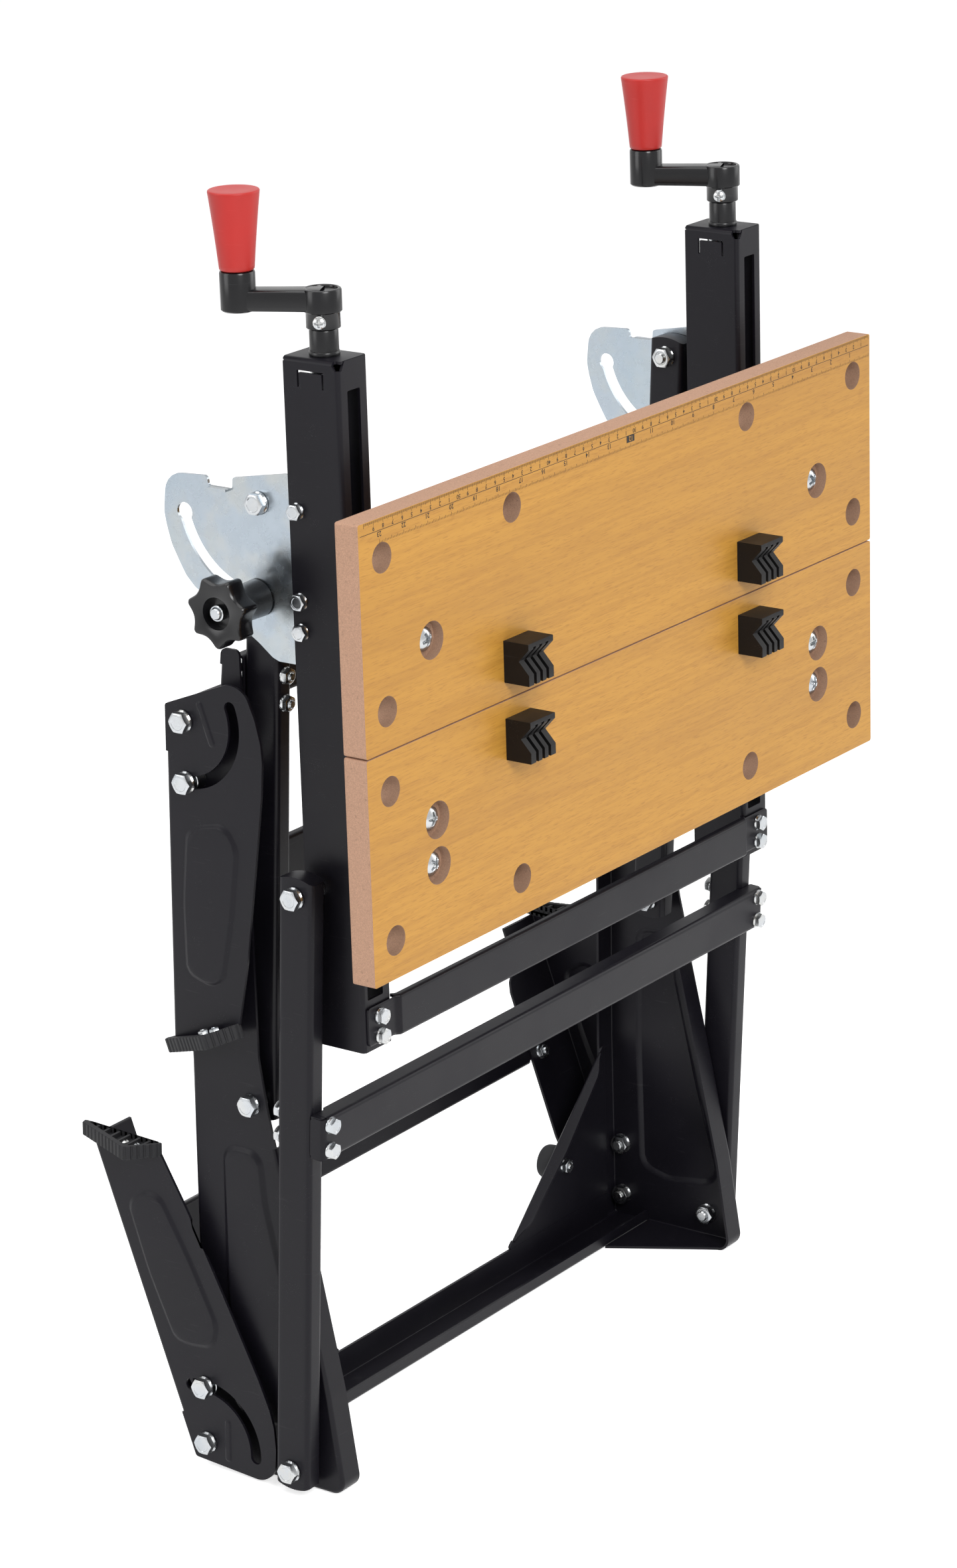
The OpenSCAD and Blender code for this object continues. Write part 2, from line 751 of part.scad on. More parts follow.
module beam_crossbar_fasteners() {
    low = beam_bottom + beam_bar_over_end;
    color(zinc) for (x = [-beam_mid, beam_mid], rise = beam_bar_bolt_rises)
        bolt_y(bolt_d, beam_front - sheet, beam_front + sheet, x, low + rise);
}

// Bolts at the links' tops, with a sleeve between beam and link
module link_top_fasteners() {
    color(zinc) for (side = [-1, 1]) sided(side) {
        bolt_x(pivot_d, link_out + side_play, beam_out - sheet, link_top_pivot);
        sleeve_x(pivot_d, beam_out, link_in - side_play, link_top_pivot);
    }
}

// Bearings of the lead screws on the beams' top ends
module screw_bearings() {
    color(black) for (x = [-beam_mid, beam_mid]) translate([x, screw_y, beam_top]) difference() {
        cylinder(d = bearing_d, h = bearing_h);
        translate([0, 0, -overrun]) cylinder(d = screw_d + 2 * run_fit, h = bearing_h + 2 * overrun);
    }
}

// Boards

module board(low, hole_zs, screw_zs) {
    color(beech) difference() {
        translate([-board_w / 2, board_front, low]) cube([board_w, board_t, board_h]);
        for (x = dog_hole_xs, z = hole_zs)
            rod_y(dog_hole_d, board_front - overrun, board_back + overrun, x, z);
        for (x = [-beam_mid, beam_mid], z = screw_zs) {
            rod_y(counterbore_d, board_front - overrun, board_front + counterbore_depth, x, z);
            rod_y(pivot_d + 2 * run_fit, board_front, board_back + overrun, x, z);
        }
    }
}

module moving_jaw() {
    board(upper_board_bottom, [upper_dog_z, upper_board_top - dog_edge], [moving_screw_z]);
}

module fixed_jaw() {
    board(lower_board_bottom, [lower_dog_z, lower_board_bottom + dog_edge], fixed_screw_zs);
}

// Round-headed screw along Y with a cross recess
module jaw_screw(l) {
    head_d = pivot_d * flange_share;
    head_h = pivot_d * head_share;
    recess = pivot_d * 0.2;
    rotate([90, 0, 0]) difference() {
        union() {
            intersection() {
                cylinder(d = head_d, h = head_h);
                translate([0, 0, head_h - head_d * 0.7]) sphere(r = head_d * 0.7);
            }
            translate([0, 0, -l]) cylinder(d = pivot_d, h = l);
        }
        for (a = [0, 90]) rotate([0, 0, a]) translate([-recess * 2, -recess / 2, head_h * 0.5])
            cube([recess * 4, recess, head_h]);
    }
}

module moving_jaw_screws() {
    seat = board_front + counterbore_depth;
    color(zinc) for (x = [-beam_mid, beam_mid]) translate([x, seat, moving_screw_z])
        jaw_screw(board_t - counterbore_depth + block_d * 0.7);
}

// Blocks that carry the fixed jaw on the beams
module fixed_jaw_blocks() {
    low = fixed_screw_zs[1] - carriage_w / 2;
    color(black) for (x = [-beam_mid, beam_mid]) difference() {
        translate([x - carriage_w / 2, board_back, low])
            cube([carriage_w, block_d, fixed_screw_pitch + carriage_w]);
        for (z = fixed_screw_zs)
            rod_y(pivot_d + 2 * run_fit, board_back - overrun, beam_front + overrun, x, z);
    }
}

// Screws of the fixed jaw with a strip and nuts inside each beam
module fixed_jaw_fasteners() {
    seat = board_front + counterbore_depth;
    inside = beam_front + sheet;
    nut_seat = inside + sheet;
    tail = pivot_d * (nut_share + flange_t_share);
    low = fixed_screw_zs[1] - pivot_d;
    color(zinc) for (x = [-beam_mid, beam_mid]) {
        for (z = fixed_screw_zs) {
            translate([x, seat, z]) jaw_screw(nut_seat - seat + tail);
            translate([x, nut_seat, z]) rotate([-90, 0, 0]) hex_nut(pivot_d);
        }
        difference() {
            translate([x - carriage_in_w / 2, inside, low])
                cube([carriage_in_w, sheet, fixed_screw_pitch + 2 * pivot_d]);
            for (z = fixed_screw_zs)
                rod_y(pivot_d + 2 * run_fit, inside - overrun, nut_seat + overrun, x, z);
        }
    }
}

// Carriage of the moving jaw: block in front, neck in the slot, nut on the lead screw
module jaw_carriage(side) {
    low = moving_screw_z - carriage_h / 2;
    inside = beam_front + sheet + side_play;
    neck_w = beam_slot_w - 2 * loose_fit;
    color(black) sided(side) difference() {
        union() {
            translate([beam_mid - carriage_w / 2, board_back, low])
                cube([carriage_w, block_d - side_play, carriage_h]);
            translate([beam_mid - neck_w / 2, beam_front - side_play - overrun, low])
                cube([neck_w, inside - beam_front + side_play + 2 * overrun, carriage_h]);
            translate([beam_mid - carriage_in_w / 2, inside, low])
                cube([carriage_in_w, carriage_in_d, carriage_h]);
        }
        translate([beam_mid, screw_y, low - overrun])
            cylinder(d = screw_d + 2 * run_fit, h = carriage_h + 2 * overrun);
        rod_y(pivot_d + 2 * run_fit, board_back - overrun, board_back + block_d * 0.7 + overrun,
            beam_mid, moving_screw_z);
    }
}

module jaw_carriage_left() jaw_carriage(-1);
module jaw_carriage_right() jaw_carriage(1);

// Lead screw with a thrust ring under the beam's top plate
module lead_screw(side) {
    low = moving_screw_z - carriage_h / 2 - screw_under_carriage;
    ring_top = beam_top - sheet - side_play;
    top = hub_bottom + hub_h * 0.6;
    color(zinc) sided(side) translate([beam_mid, screw_y, 0]) {
        translate([0, 0, low]) cylinder(d = screw_d, h = top - low);
        translate([0, 0, ring_top - thrust_h]) cylinder(d = bearing_d, h = thrust_h);
    }
}

module lead_screw_left() lead_screw(-1);
module lead_screw_right() lead_screw(1);

// Crank: collar with a side screw, hub, arm and boss, drawn with its arm along X
module crank_shape() {
    neck = hub_d * 0.36;
    difference() {
        union() {
            translate([0, 0, collar_bottom]) cylinder(d = collar_d, h = collar_h);
            translate([0, 0, hub_bottom]) cylinder(d = hub_d, h = hub_h);
            translate([0, 0, hub_bottom]) linear_extrude(crank_arm_h)
                polygon([[0, -neck], [crank_r, -neck], [crank_r, neck], [0, neck]]);
            translate([crank_r, 0, hub_bottom]) cylinder(d = boss_d, h = crank_arm_h + boss_h);
        }
        translate([0, 0, collar_bottom - overrun])
            cylinder(d = screw_d + 2 * run_fit, h = overrun + collar_h + hub_h * 0.6);
        translate([crank_r, 0, arm_top])
            cylinder(d = grip_pin_d + 2 * run_fit, h = boss_h + overrun);
    }
    translate([crank_r, 0, arm_top]) cylinder(d = grip_pin_d, h = boss_h + grip_h - grip_roof);
    rotate([0, 0, 90]) translate([collar_d / 2 - cross_screw_h / 2, 0, collar_bottom + collar_h / 2])
        rotate([0, 90, 0]) cylinder(d = cross_screw_d, h = cross_screw_h);
}

module crank_left() {
    color(black) translate([-beam_mid, screw_y, 0]) rotate([0, 0, left_crank_turn]) crank_shape();
}

module crank_right() {
    color(black) translate([beam_mid, screw_y, 0]) rotate([0, 0, right_crank_turn]) crank_shape();
}

// Flared grip that turns on the crank's pin
module grip_shape() {
    foot = grip_foot_d / 2;
    top = grip_top_d / 2;
    difference() {
        rotate_extrude() polygon([[0, 0], [foot, 0], [foot + (top - foot) * 0.3, grip_h * 0.35],
            [top - grip_edge * 0.3, grip_h - grip_edge * 2], [top - grip_edge, grip_h], [0, grip_h]]);
        translate([0, 0, -overrun])
            cylinder(d = grip_pin_d + 2 * run_fit, h = grip_h - grip_roof + overrun);
    }
}

module grip_left() {
    color(red) translate([-beam_mid, screw_y, grip_bottom])
        rotate([0, 0, left_crank_turn]) translate([crank_r, 0, 0]) grip_shape();
}

module grip_right() {
    color(red) translate([beam_mid, screw_y, grip_bottom])
        rotate([0, 0, right_crank_turn]) translate([crank_r, 0, 0]) grip_shape();
}

// Swivel dog: block with a V groove and fins, and a stem in the board's hole
module dog(x, z) {
    slot = dog_w * 0.11;
    mouth = dog_groove * 1.2;
    color(rubber) translate([x, board_front, z]) difference() {
        union() {
            translate([-dog_w / 2, -dog_depth, -dog_h / 2]) cube([dog_w, dog_depth, dog_h]);
            rod_y(dog_hole_d - 2 * run_fit, -overrun, board_t + overrun, 0, 0);
        }
        slab_x(-dog_w, dog_w) polygon([[-dog_depth - overrun, -mouth - overrun],
            [dog_groove - dog_depth, 0], [-dog_depth - overrun, mouth + overrun]]);
        for (i = [-1 : 1])
            translate([i * dog_w / 4 - slot / 2, -dog_depth - overrun, -dog_h])
                cube([slot, dog_depth * 0.7 + overrun, dog_h * 0.86]);
    }
}

module dog_upper_left() dog(-dog_inner_x, upper_dog_z);
module dog_upper_right() dog(dog_inner_x, upper_dog_z);
module dog_lower_left() dog(-dog_inner_x, lower_dog_z);
module dog_lower_right() dog(dog_inner_x, lower_dog_z);

// Legs, in a frame at the pivot with the foot end upward

// Frame that leans with the leg's rear edge
module on_leg_rear() {
    translate([0, leg_rear_y, leg_rear_z]) rotate([-leg_rear_lean, 0, 0]) children();
}

// Frame of the foot pad: Y along the sole, Z out of the sole
module on_foot() {
    translate([0, leg_plate_end_y, leg_l]) rotate([foot_tilt, 0, 0]) children();
}

module leg_outline() {
    end = [leg_plate_end_y, leg_l] + foot_l * [cos(foot_tilt), sin(foot_tilt)];
    front = [for (s = leg_front_shares) [leg_w * s[0], leg_l * s[1]]];
    rear_top_y = leg_rear_y + (end[1] - leg_rear_z) * tan(leg_rear_lean);
    polygon(concat(front, [[rear_top_y, leg_l + (rear_top_y - leg_plate_end_y) * tan(foot_tilt)]]));
}

// Plan of the foot's tab or pad, drawn in by an inset
module foot_plan(inset) {
    polygon([[leg_in, inset], [leg_out, inset],
        [leg_out + foot_reach - 1.6 * inset, foot_l * foot_apex_share],
        [leg_out + foot_wall - inset, foot_l - 2 * inset], [leg_in, foot_l - 2 * inset]]);
}

module leg_shape() {
    tab_top = -foot_recess - foot_floor;
    difference() {
        union() {
            difference() {
                slab_x(leg_in, leg_out) leg_outline();
                on_foot() translate([0, -foot_l, tab_top]) cube([2 * leg_out, 4 * foot_l, foot_l]);
            }
            on_foot() translate([0, 0, tab_top - sheet]) linear_extrude(sheet) foot_plan(foot_wall);
            on_leg_rear() difference() {
                slab_y(-sheet, 0) polygon([[leg_out, leg_l * leg_flange_shares[0]],
                    [leg_flange_in, leg_l * leg_flange_shares[1]], [leg_flange_in, leg_l * leg_flange_shares[2]],
                    [leg_flange_end_in, leg_l * leg_flange_shares[3]],
                    [leg_flange_end_in, leg_l * leg_flange_shares[4]], [leg_out, leg_l * leg_flange_shares[4]]]);
                rod_y(bolt_d + 2 * loose_fit, -sheet - overrun, overrun, leg_spare_hole_x,
                    leg_spare_hole_rise - leg_rear_z);
                for (rise = leg_bar_bolt_rises)
                    rod_y(bolt_d + 2 * run_fit, -sheet - overrun, overrun, leg_bar_bolt_x, rise - leg_rear_z);
            }
        }
        rod_x(pivot_d + 2 * run_fit, leg_in - overrun, leg_out + overrun, [0, 0]);
        slab_x(leg_in - overrun, leg_out + overrun) union() {
            arc_band(leg_slot_r, leg_slot_w, 90, 90 + leg_swing);
            for (a = [90, 90 + leg_swing]) translate(leg_slot_r * [cos(a), sin(a)]) circle(d = leg_slot_w);
        }
        for (s = foot_screw_shares) on_foot()
            translate([leg_out + foot_screw_out, foot_l * s, -foot_h])
                cylinder(d = foot_screw_d + 2 * run_fit, h = foot_h);
    }
}

// Ribbed pad round the foot's tab, with a recess for the screw heads
module foot_shape() {
    tab_bottom = -foot_recess - foot_floor - sheet;
    on_foot() difference() {
        translate([0, 0, -foot_h]) linear_extrude(foot_h) union() {
            foot_plan(0);
            translate([leg_in - foot_inner, 0]) square([foot_inner, foot_l]);
        }
        translate([0, 0, -foot_h - overrun]) linear_extrude(foot_h + overrun - foot_recess - foot_floor)
            foot_plan(foot_wall - run_fit);
        translate([0, 0, -foot_recess]) linear_extrude(foot_recess + overrun) foot_plan(foot_wall);
        translate([leg_in - run_fit, -overrun, -foot_h - overrun])
            cube([sheet + 2 * run_fit, foot_wall + overrun, foot_h + overrun - foot_recess - foot_floor]);
        for (s = foot_screw_shares) translate([leg_out + foot_screw_out, foot_l * s, tab_bottom])
            cylinder(d = foot_screw_d + 2 * run_fit, h = foot_h);
    }
}

// Screws of one foot: heads in the recess, nuts behind the tab
module foot_screws() {
    nut_seat = -foot_recess - foot_floor - sheet;
    on_foot() for (s = foot_screw_shares) translate([leg_out + foot_screw_out, foot_l * s, 0]) {
        translate([0, 0, -foot_recess]) cylinder(d = foot_screw_d * flange_share, h = foot_recess / 2);
        translate([0, 0, nut_seat - foot_screw_d]) cylinder(d = foot_screw_d, h = foot_screw_d * 2);
        translate([0, 0, nut_seat]) mirror([0, 0, 1]) hex_nut(foot_screw_d);
    }
}

module leg_bar() {
    half = leg_bar_end;
    low = leg_bar_low - leg_rear_z;
    on_leg_rear() difference() {
        union() {
            translate([-half, 0, low]) cube([2 * half, sheet, leg_bar_h]);
            for (z = [low, low + leg_bar_h - sheet])
                translate([loose_fit - leg_flange_in, 0, z])
                    cube([2 * (leg_flange_in - loose_fit), leg_bar_lip, sheet]);
        }
        for (x = [-leg_bar_bolt_x, leg_bar_bolt_x], rise = leg_bar_bolt_rises)
            rod_y(bolt_d + 2 * run_fit, -overrun, sheet + overrun, x, rise - leg_rear_z);
    }
}

module leg_bar_fasteners() {
    on_leg_rear() for (x = [-leg_bar_bolt_x, leg_bar_bolt_x], rise = leg_bar_bolt_rises)
        mirror([0, 1, 0]) bolt_y(bolt_d, -sheet, sheet, x, rise - leg_rear_z);
}

// The upper legs hang from the top pivots, the lower legs stand on the bottom ones
module on_upper() {
    translate([0, upper_leg_pivot[0], upper_leg_pivot[1]]) mirror([0, 0, 1]) children();
}

module on_lower() {
    translate([0, lower_leg_pivot[0], lower_leg_pivot[1]]) rotate([-lower_leg_open, 0, 0]) children();
}

module upper_leg_left() color(black) sided(-1) on_upper() leg_shape();
module upper_leg_right() color(black) on_upper() leg_shape();
module upper_leg_crossbar() color(black) on_upper() leg_bar();
module upper_feet() color(rubber) for (side = [-1, 1]) sided(side) on_upper() foot_shape();
module upper_leg_fasteners() {
    color(zinc) for (side = [-1, 1]) sided(side) on_upper() foot_screws();
    color(zinc) on_upper() leg_bar_fasteners();
}
module lower_leg_left() color(black) sided(-1) on_lower() leg_shape();
module lower_leg_right() color(black) on_lower() leg_shape();
module lower_leg_crossbar() color(black) on_lower() leg_bar();
module lower_feet() color(rubber) for (side = [-1, 1]) sided(side) on_lower() foot_shape();
module lower_leg_fasteners() {
    color(zinc) for (side = [-1, 1]) sided(side) on_lower() foot_screws();
    color(zinc) on_lower() leg_bar_fasteners();
}

base_panel_left();
base_panel_right();
bottom_channel();
gusset_left();
gusset_right();
bumper_left();
bumper_right();
bumper_fasteners();
middle_pivot_fasteners();
foot_pivot_fasteners();
leg_fasteners();
post_left();
post_right();
post_crossbar();
post_crossbar_fasteners();
table_pivot_fasteners();
knob_studs();
knob_left();
knob_right();
link_left();
link_right();
link_crossbar();
link_crossbar_fasteners();
beam_left();
beam_right();
quadrant_left();
quadrant_right();
quadrant_fasteners();
beam_crossbar();
beam_crossbar_fasteners();
link_top_fasteners();
screw_bearings();
fixed_jaw();
fixed_jaw_blocks();
fixed_jaw_fasteners();
moving_jaw();
jaw_carriage_left();
jaw_carriage_right();
moving_jaw_screws();
lead_screw_left();
lead_screw_right();
crank_left();
crank_right();
grip_left();
grip_right();
dog_upper_left();
dog_upper_right();
dog_lower_left();
dog_lower_right();
upper_leg_left();
upper_leg_right();
upper_leg_crossbar();
upper_feet();
upper_leg_fasteners();
lower_leg_left();
lower_leg_right();
lower_leg_crossbar();
lower_feet();
lower_leg_fasteners();
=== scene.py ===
"""Folding workbench standing folded on its base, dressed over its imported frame.

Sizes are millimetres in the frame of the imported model: X across the bench, Y from
the jaws to the rear, Z up, from the middle of the bottom channel's underside.
"""
from __future__ import annotations

import logging
import math
from dataclasses import dataclass, field
from enum import Enum

import bmesh
import bpy
import numpy as np
from mathutils import Matrix, Vector, geometry


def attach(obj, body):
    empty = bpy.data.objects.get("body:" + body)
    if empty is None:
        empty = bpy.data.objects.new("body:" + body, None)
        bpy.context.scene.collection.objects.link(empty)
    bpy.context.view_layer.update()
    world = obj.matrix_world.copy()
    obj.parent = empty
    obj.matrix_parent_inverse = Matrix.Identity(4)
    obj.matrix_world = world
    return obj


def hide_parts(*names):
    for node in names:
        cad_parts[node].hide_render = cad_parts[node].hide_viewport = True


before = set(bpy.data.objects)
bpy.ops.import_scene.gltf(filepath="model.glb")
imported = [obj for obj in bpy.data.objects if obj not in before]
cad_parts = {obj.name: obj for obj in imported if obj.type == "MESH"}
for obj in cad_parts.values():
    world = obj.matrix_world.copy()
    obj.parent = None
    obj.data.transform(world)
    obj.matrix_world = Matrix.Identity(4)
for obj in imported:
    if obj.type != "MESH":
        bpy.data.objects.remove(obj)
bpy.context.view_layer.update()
log = logging.getLogger("workbench")

# Shapes


@dataclass
class Surface:
    """Points in millimetres with faces and the finish number of each face."""

    points: np.ndarray
    faces: list
    finish: list = field(default_factory=list)

    def __post_init__(self) -> None:
        """Give every face the first finish where none is named."""
        if not self.finish:
            self.finish = [0] * len(self.faces)

    def moved(self, matrix: np.ndarray) -> Surface:
        """Return a copy carried through a 4 x 4 matrix."""
        return Surface(self.points @ matrix[:3, :3].T + matrix[:3, 3], self.faces, self.finish)

    def wearing(self, number: int) -> Surface:
        """Return a copy with one finish number on every face."""
        return Surface(self.points, self.faces, [number] * len(self.faces))


def joined(*parts: Surface) -> Surface:
    """Join surfaces into one.

    Args:
        parts: The surfaces.

    Returns:
        One surface with the points and faces of all.
    """
    points, faces, finish, start = [], [], [], 0
    for part in parts:
        points.append(part.points)
        faces += [tuple(index + start for index in face) for face in part.faces]
        finish += part.finish
        start += len(part.points)
    return Surface(np.concatenate(points), faces, finish)


def shift(x: float = 0.0, y: float = 0.0, z: float = 0.0) -> np.ndarray:
    """Return the matrix of a move."""
    matrix = np.eye(4)
    matrix[:3, 3] = (x, y, z)
    return matrix


def turn(axis: str, degrees: float) -> np.ndarray:
    """Return the matrix of a right-handed turn about X, Y or Z."""
    return np.array(Matrix.Rotation(math.radians(degrees), 4, axis))


def flip(axis: int) -> np.ndarray:
    """Return the matrix of a mirror across the plane square to an axis."""
    matrix = np.eye(4)
    matrix[axis, axis] = -1.0
    return matrix


def sided(side: int) -> np.ndarray:
    """Return the matrix that takes the right-hand side to a side, 1 or -1."""
    return np.eye(4) if side > 0 else flip(0)


def grid(points: np.ndarray, close_rows: bool = False, close_columns: bool = False) -> Surface:
    """Lay quads over a grid of points.

    Args:
        points: Array of rows by columns by 3.
        close_rows: Join the last row to the first.
        close_columns: Join the last column to the first.

    Returns:
        The surface; the quad at row i, column j spans rows i, i + 1 and columns j, j + 1.
    """
    rows, columns = points.shape[:2]
    i = np.arange(rows if close_rows else rows - 1)[:, None]
    j = np.arange(columns if close_columns else columns - 1)[None, :]
    ni, nj = (i + 1) % rows, (j + 1) % columns
    quads = np.stack([i * columns + j, i * columns + nj, ni * columns + nj, ni * columns + j], axis=-1)
    return Surface(points.reshape(-1, 3), [tuple(q) for q in quads.reshape(-1, 4).tolist()])


def revolved(radius: np.ndarray, height: np.ndarray, steps: int = 48) -> Surface:
    """Turn a profile round Z.

    The point at row i and angle t is (r cos t, r sin t, z), where r and z are the row's
    values, each one number or a function of t given as a row of values.

    Args:
        radius: Radii, one for each row or one for each row and angle.
        height: Heights, in the same form.
        steps: Number of angles round the axis.

    Returns:
        The surface.
    """
    angle = np.arange(steps) * 2 * np.pi / steps
    radius = np.broadcast_to(np.atleast_2d(radius.T).T, (len(radius), steps))
    height = np.broadcast_to(np.atleast_2d(height.T).T, (len(height), steps))
    points = np.stack([radius * np.cos(angle), radius * np.sin(angle), height], axis=-1)
    return grid(points, close_columns=True)


def profile(*rows: tuple, steps: int = 48) -> Surface:
    """Turn rows of (radius, height) round Z; each value may be an array over the angles."""
    flat = np.ones(steps)
    return revolved(np.array([flat * r for r, _ in rows]), np.array([flat * z for _, z in rows]), steps)


def hexagon(width: float, steps: int = 48) -> np.ndarray:
    """Return a hexagon's radius at each angle: half its width over the cosine from the nearest flat."""
    angle = np.degrees(np.arange(steps) * 2 * np.pi / steps)
    return width / 2 / np.cos(np.radians((angle + 30) % 60 - 30))


def hex_part(thread: float, share: float, bore: float = 0.0) -> Surface:
    """Make a flanged hexagon head or nut that stands on zero.

    The hexagon's upper edge is cut by a cone of 30 degrees, so its height falls by the
    radius past the top circle times the tangent of 30 degrees.

    Args:
        thread: Thread diameter.
        share: Height over the flange as a multiple of the thread.
        bore: Diameter of the bore in the top, or zero.

    Returns:
        The closed surface.
    """
    flange, rim = thread * 1.95 / 2, thread * 0.17
    radius = hexagon(thread * 1.65)
    top = thread * share
    flat = thread * 1.65 / 2 * 0.94
    drop = (radius - flat) * math.tan(math.radians(30))
    rows = [(0.0, 0.0), (flange - 0.15, 0.0), (flange, 0.15), (flange, rim * 0.75), (radius * 1.03, rim * 1.5),
            (radius, rim * 1.9), (radius, top - drop), (flat, top)]
    if bore:
        rows += [(bore / 2 + 0.35, top), (bore / 2, top - 0.4), (0.0, top - 0.4)]
    else:
        rows += [(flat * 0.8, top), (flat * 0.74, top - thread * 0.04), (0.0, top - thread * 0.04)]
    return profile(*rows)


def rod(diameter: float, low: float, high: float, chamfer: float = 0.4, steps: int = 32) -> Surface:
    """Make a closed rod along Z with chamfered ends."""
    r = diameter / 2
    return profile((0.0, low), (r - chamfer, low), (r, low + chamfer), (r, high - chamfer), (r - chamfer, high),
                   (0.0, high), steps=steps)


def fastener(thread: float, grip: float) -> Surface:
    """Make a hexagon bolt along Z with a flange nut.

    Args:
        thread: Thread diameter.
        grip: Length between the head's seat, at zero, and the nut's seat below it.

    Returns:
        Head, shank with a ribbed end, and nut.
    """
    tail = thread * 1.02
    low = -grip - tail - 0.6
    z = np.arange(low + 0.6, low + tail + 2.0, 0.35)
    r = thread / 2 - 0.16 + 0.16 * np.cos(2 * np.pi * z / 1.4)
    thread_rows = [(0.0, low), (thread / 2 - 0.7, low)] + list(zip(r.tolist(), z.tolist()))
    shank = profile(*thread_rows, (thread / 2, z[-1] + 0.3), (thread / 2, 0.2), (0.0, 0.2), steps=20)
    nut = hex_part(thread, 0.85).moved(turn("X", 180)).moved(shift(z=-grip))
    return joined(hex_part(thread, 0.85), shank, nut)


def sleeve(thread: float, low: float, high: float) -> Surface:
    """Make a spacer ring along Z with chamfered outer edges.

    Args:
        thread: Thread it goes over.
        low: Where it starts.
        high: Where it ends.

    Returns:
        The ring.
    """
    outer, inner = thread * 0.975, thread / 2 + 0.05
    return grid(revolved(np.array([inner, outer - 0.4, outer, outer, outer - 0.4, inner]),
                         np.array([low, low, low + 0.4, high - 0.4, high, high])).points.reshape(6, 48, 3),
                close_rows=True, close_columns=True)


def cross_head(diameter: float, height: float, slot: float, reach: float) -> Surface:
    """Make a domed screw head along Z with a cross recess.

    The height at radius p is the dome's, height (1 - 0.55 (p / r) squared), less the
    recess, which falls smoothly where the smaller of |x| and |y| is under half the slot
    and the larger is under the reach.

    Args:
        diameter: Head diameter.
        height: Head height in the middle.
        slot: Width of the cross arms.
        reach: Length of a cross arm from the middle.

    Returns:
        The closed surface, standing on zero.
    """
    steps, r = 96, diameter / 2
    rho = np.concatenate([np.linspace(0.0, reach * 1.25, 26), np.linspace(reach * 1.4, r, 8)])[:, None]
    angle = (np.arange(steps) * 2 * np.pi / steps)[None, :]
    x, y = rho * np.cos(angle), rho * np.sin(angle)
    near, far = np.minimum(abs(x), abs(y)), np.maximum(abs(x), abs(y))
    cut = smooth((slot / 2 - near) / (slot * 0.3) + 0.5) * smooth((reach - far) / (slot * 0.5) + 0.5)
    z = height * (1 - 0.55 * (rho / r) ** 2) - cut * height * (0.75 - 0.3 * far / reach)
    top = np.stack([x, y, z], axis=-1)
    rim = np.stack([x[-1:] * 1.02, y[-1:] * 1.02, 0 * x[-1:] + height * 0.3], axis=-1)
    foot = np.stack([x[-1:] * 1.02, y[-1:] * 1.02, 0 * x[-1:]], axis=-1)
    return grid(np.concatenate([top, rim, foot, foot * 0]), close_columns=True)


def smooth(value: np.ndarray) -> np.ndarray:
    """Return the smooth step of a value: 3 v squared minus 2 v cubed, held to 0 and 1."""
    held = np.clip(value, 0.0, 1.0)
    return held * held * (3 - 2 * held)


# Flat outlines


def rounded(corners: list, radius: float | list, steps: int = 6) -> np.ndarray:
    """Round an outline's corners.

    Args:
        corners: Corner points in order.
        radius: One radius, or one for each corner.
        steps: Points on each arc, less one.

    Returns:
        Array of points; each arc touches both sides at the radius times the tangent of
        half the turn, held to 0.45 of the shorter side.
    """
    points = np.array(corners, dtype=float)
    radii = np.broadcast_to(radius, len(points))
    loop = []
    for index, corner in enumerate(points):
        a, b = points[index - 1] - corner, points[(index + 1) % len(points)] - corner
        la, lb = np.linalg.norm(a), np.linalg.norm(b)
        a, b = a / la, b / lb
        half = math.acos(max(-1.0, min(1.0, float(a @ b)))) / 2
        if radii[index] <= 0 or half > 1.55:
            loop.append(corner[None])
            continue
        reach = min(radii[index] / math.tan(half), 0.45 * la, 0.45 * lb)
        t = np.linspace(0, 1, steps + 1)[:, None]
        start, end = corner + a * reach, corner + b * reach
        middle = corner + (a + b) / np.linalg.norm(a + b) * reach / math.cos(half)
        r = reach * math.tan(half)
        ray = (1 - t) * (start - middle) + t * (end - middle)
        loop.append(middle + ray / np.linalg.norm(ray, axis=1, keepdims=True) * r)
    return np.concatenate(loop)


def dense(loop: np.ndarray, step: float) -> np.ndarray:
    """Return an outline with points added so that no side is longer than a step.

    Args:
        loop: The outline's points.
        step: Longest side left.

    Returns:
        The outline with its added points.
    """
    parts = []
    for a, b in zip(loop, np.roll(loop, -1, axis=0)):
        count = max(1, math.ceil(np.linalg.norm(b - a) / step))
        parts.append(a + (b - a) * np.arange(count)[:, None] / count)
    return np.concatenate(parts)


def ring(x: float, y: float, diameter: float, steps: int = 32) -> np.ndarray:
    """Return a circle as an outline."""
    t = np.arange(steps) * 2 * np.pi / steps
    return np.stack([x + diameter / 2 * np.cos(t), y + diameter / 2 * np.sin(t)], axis=-1)


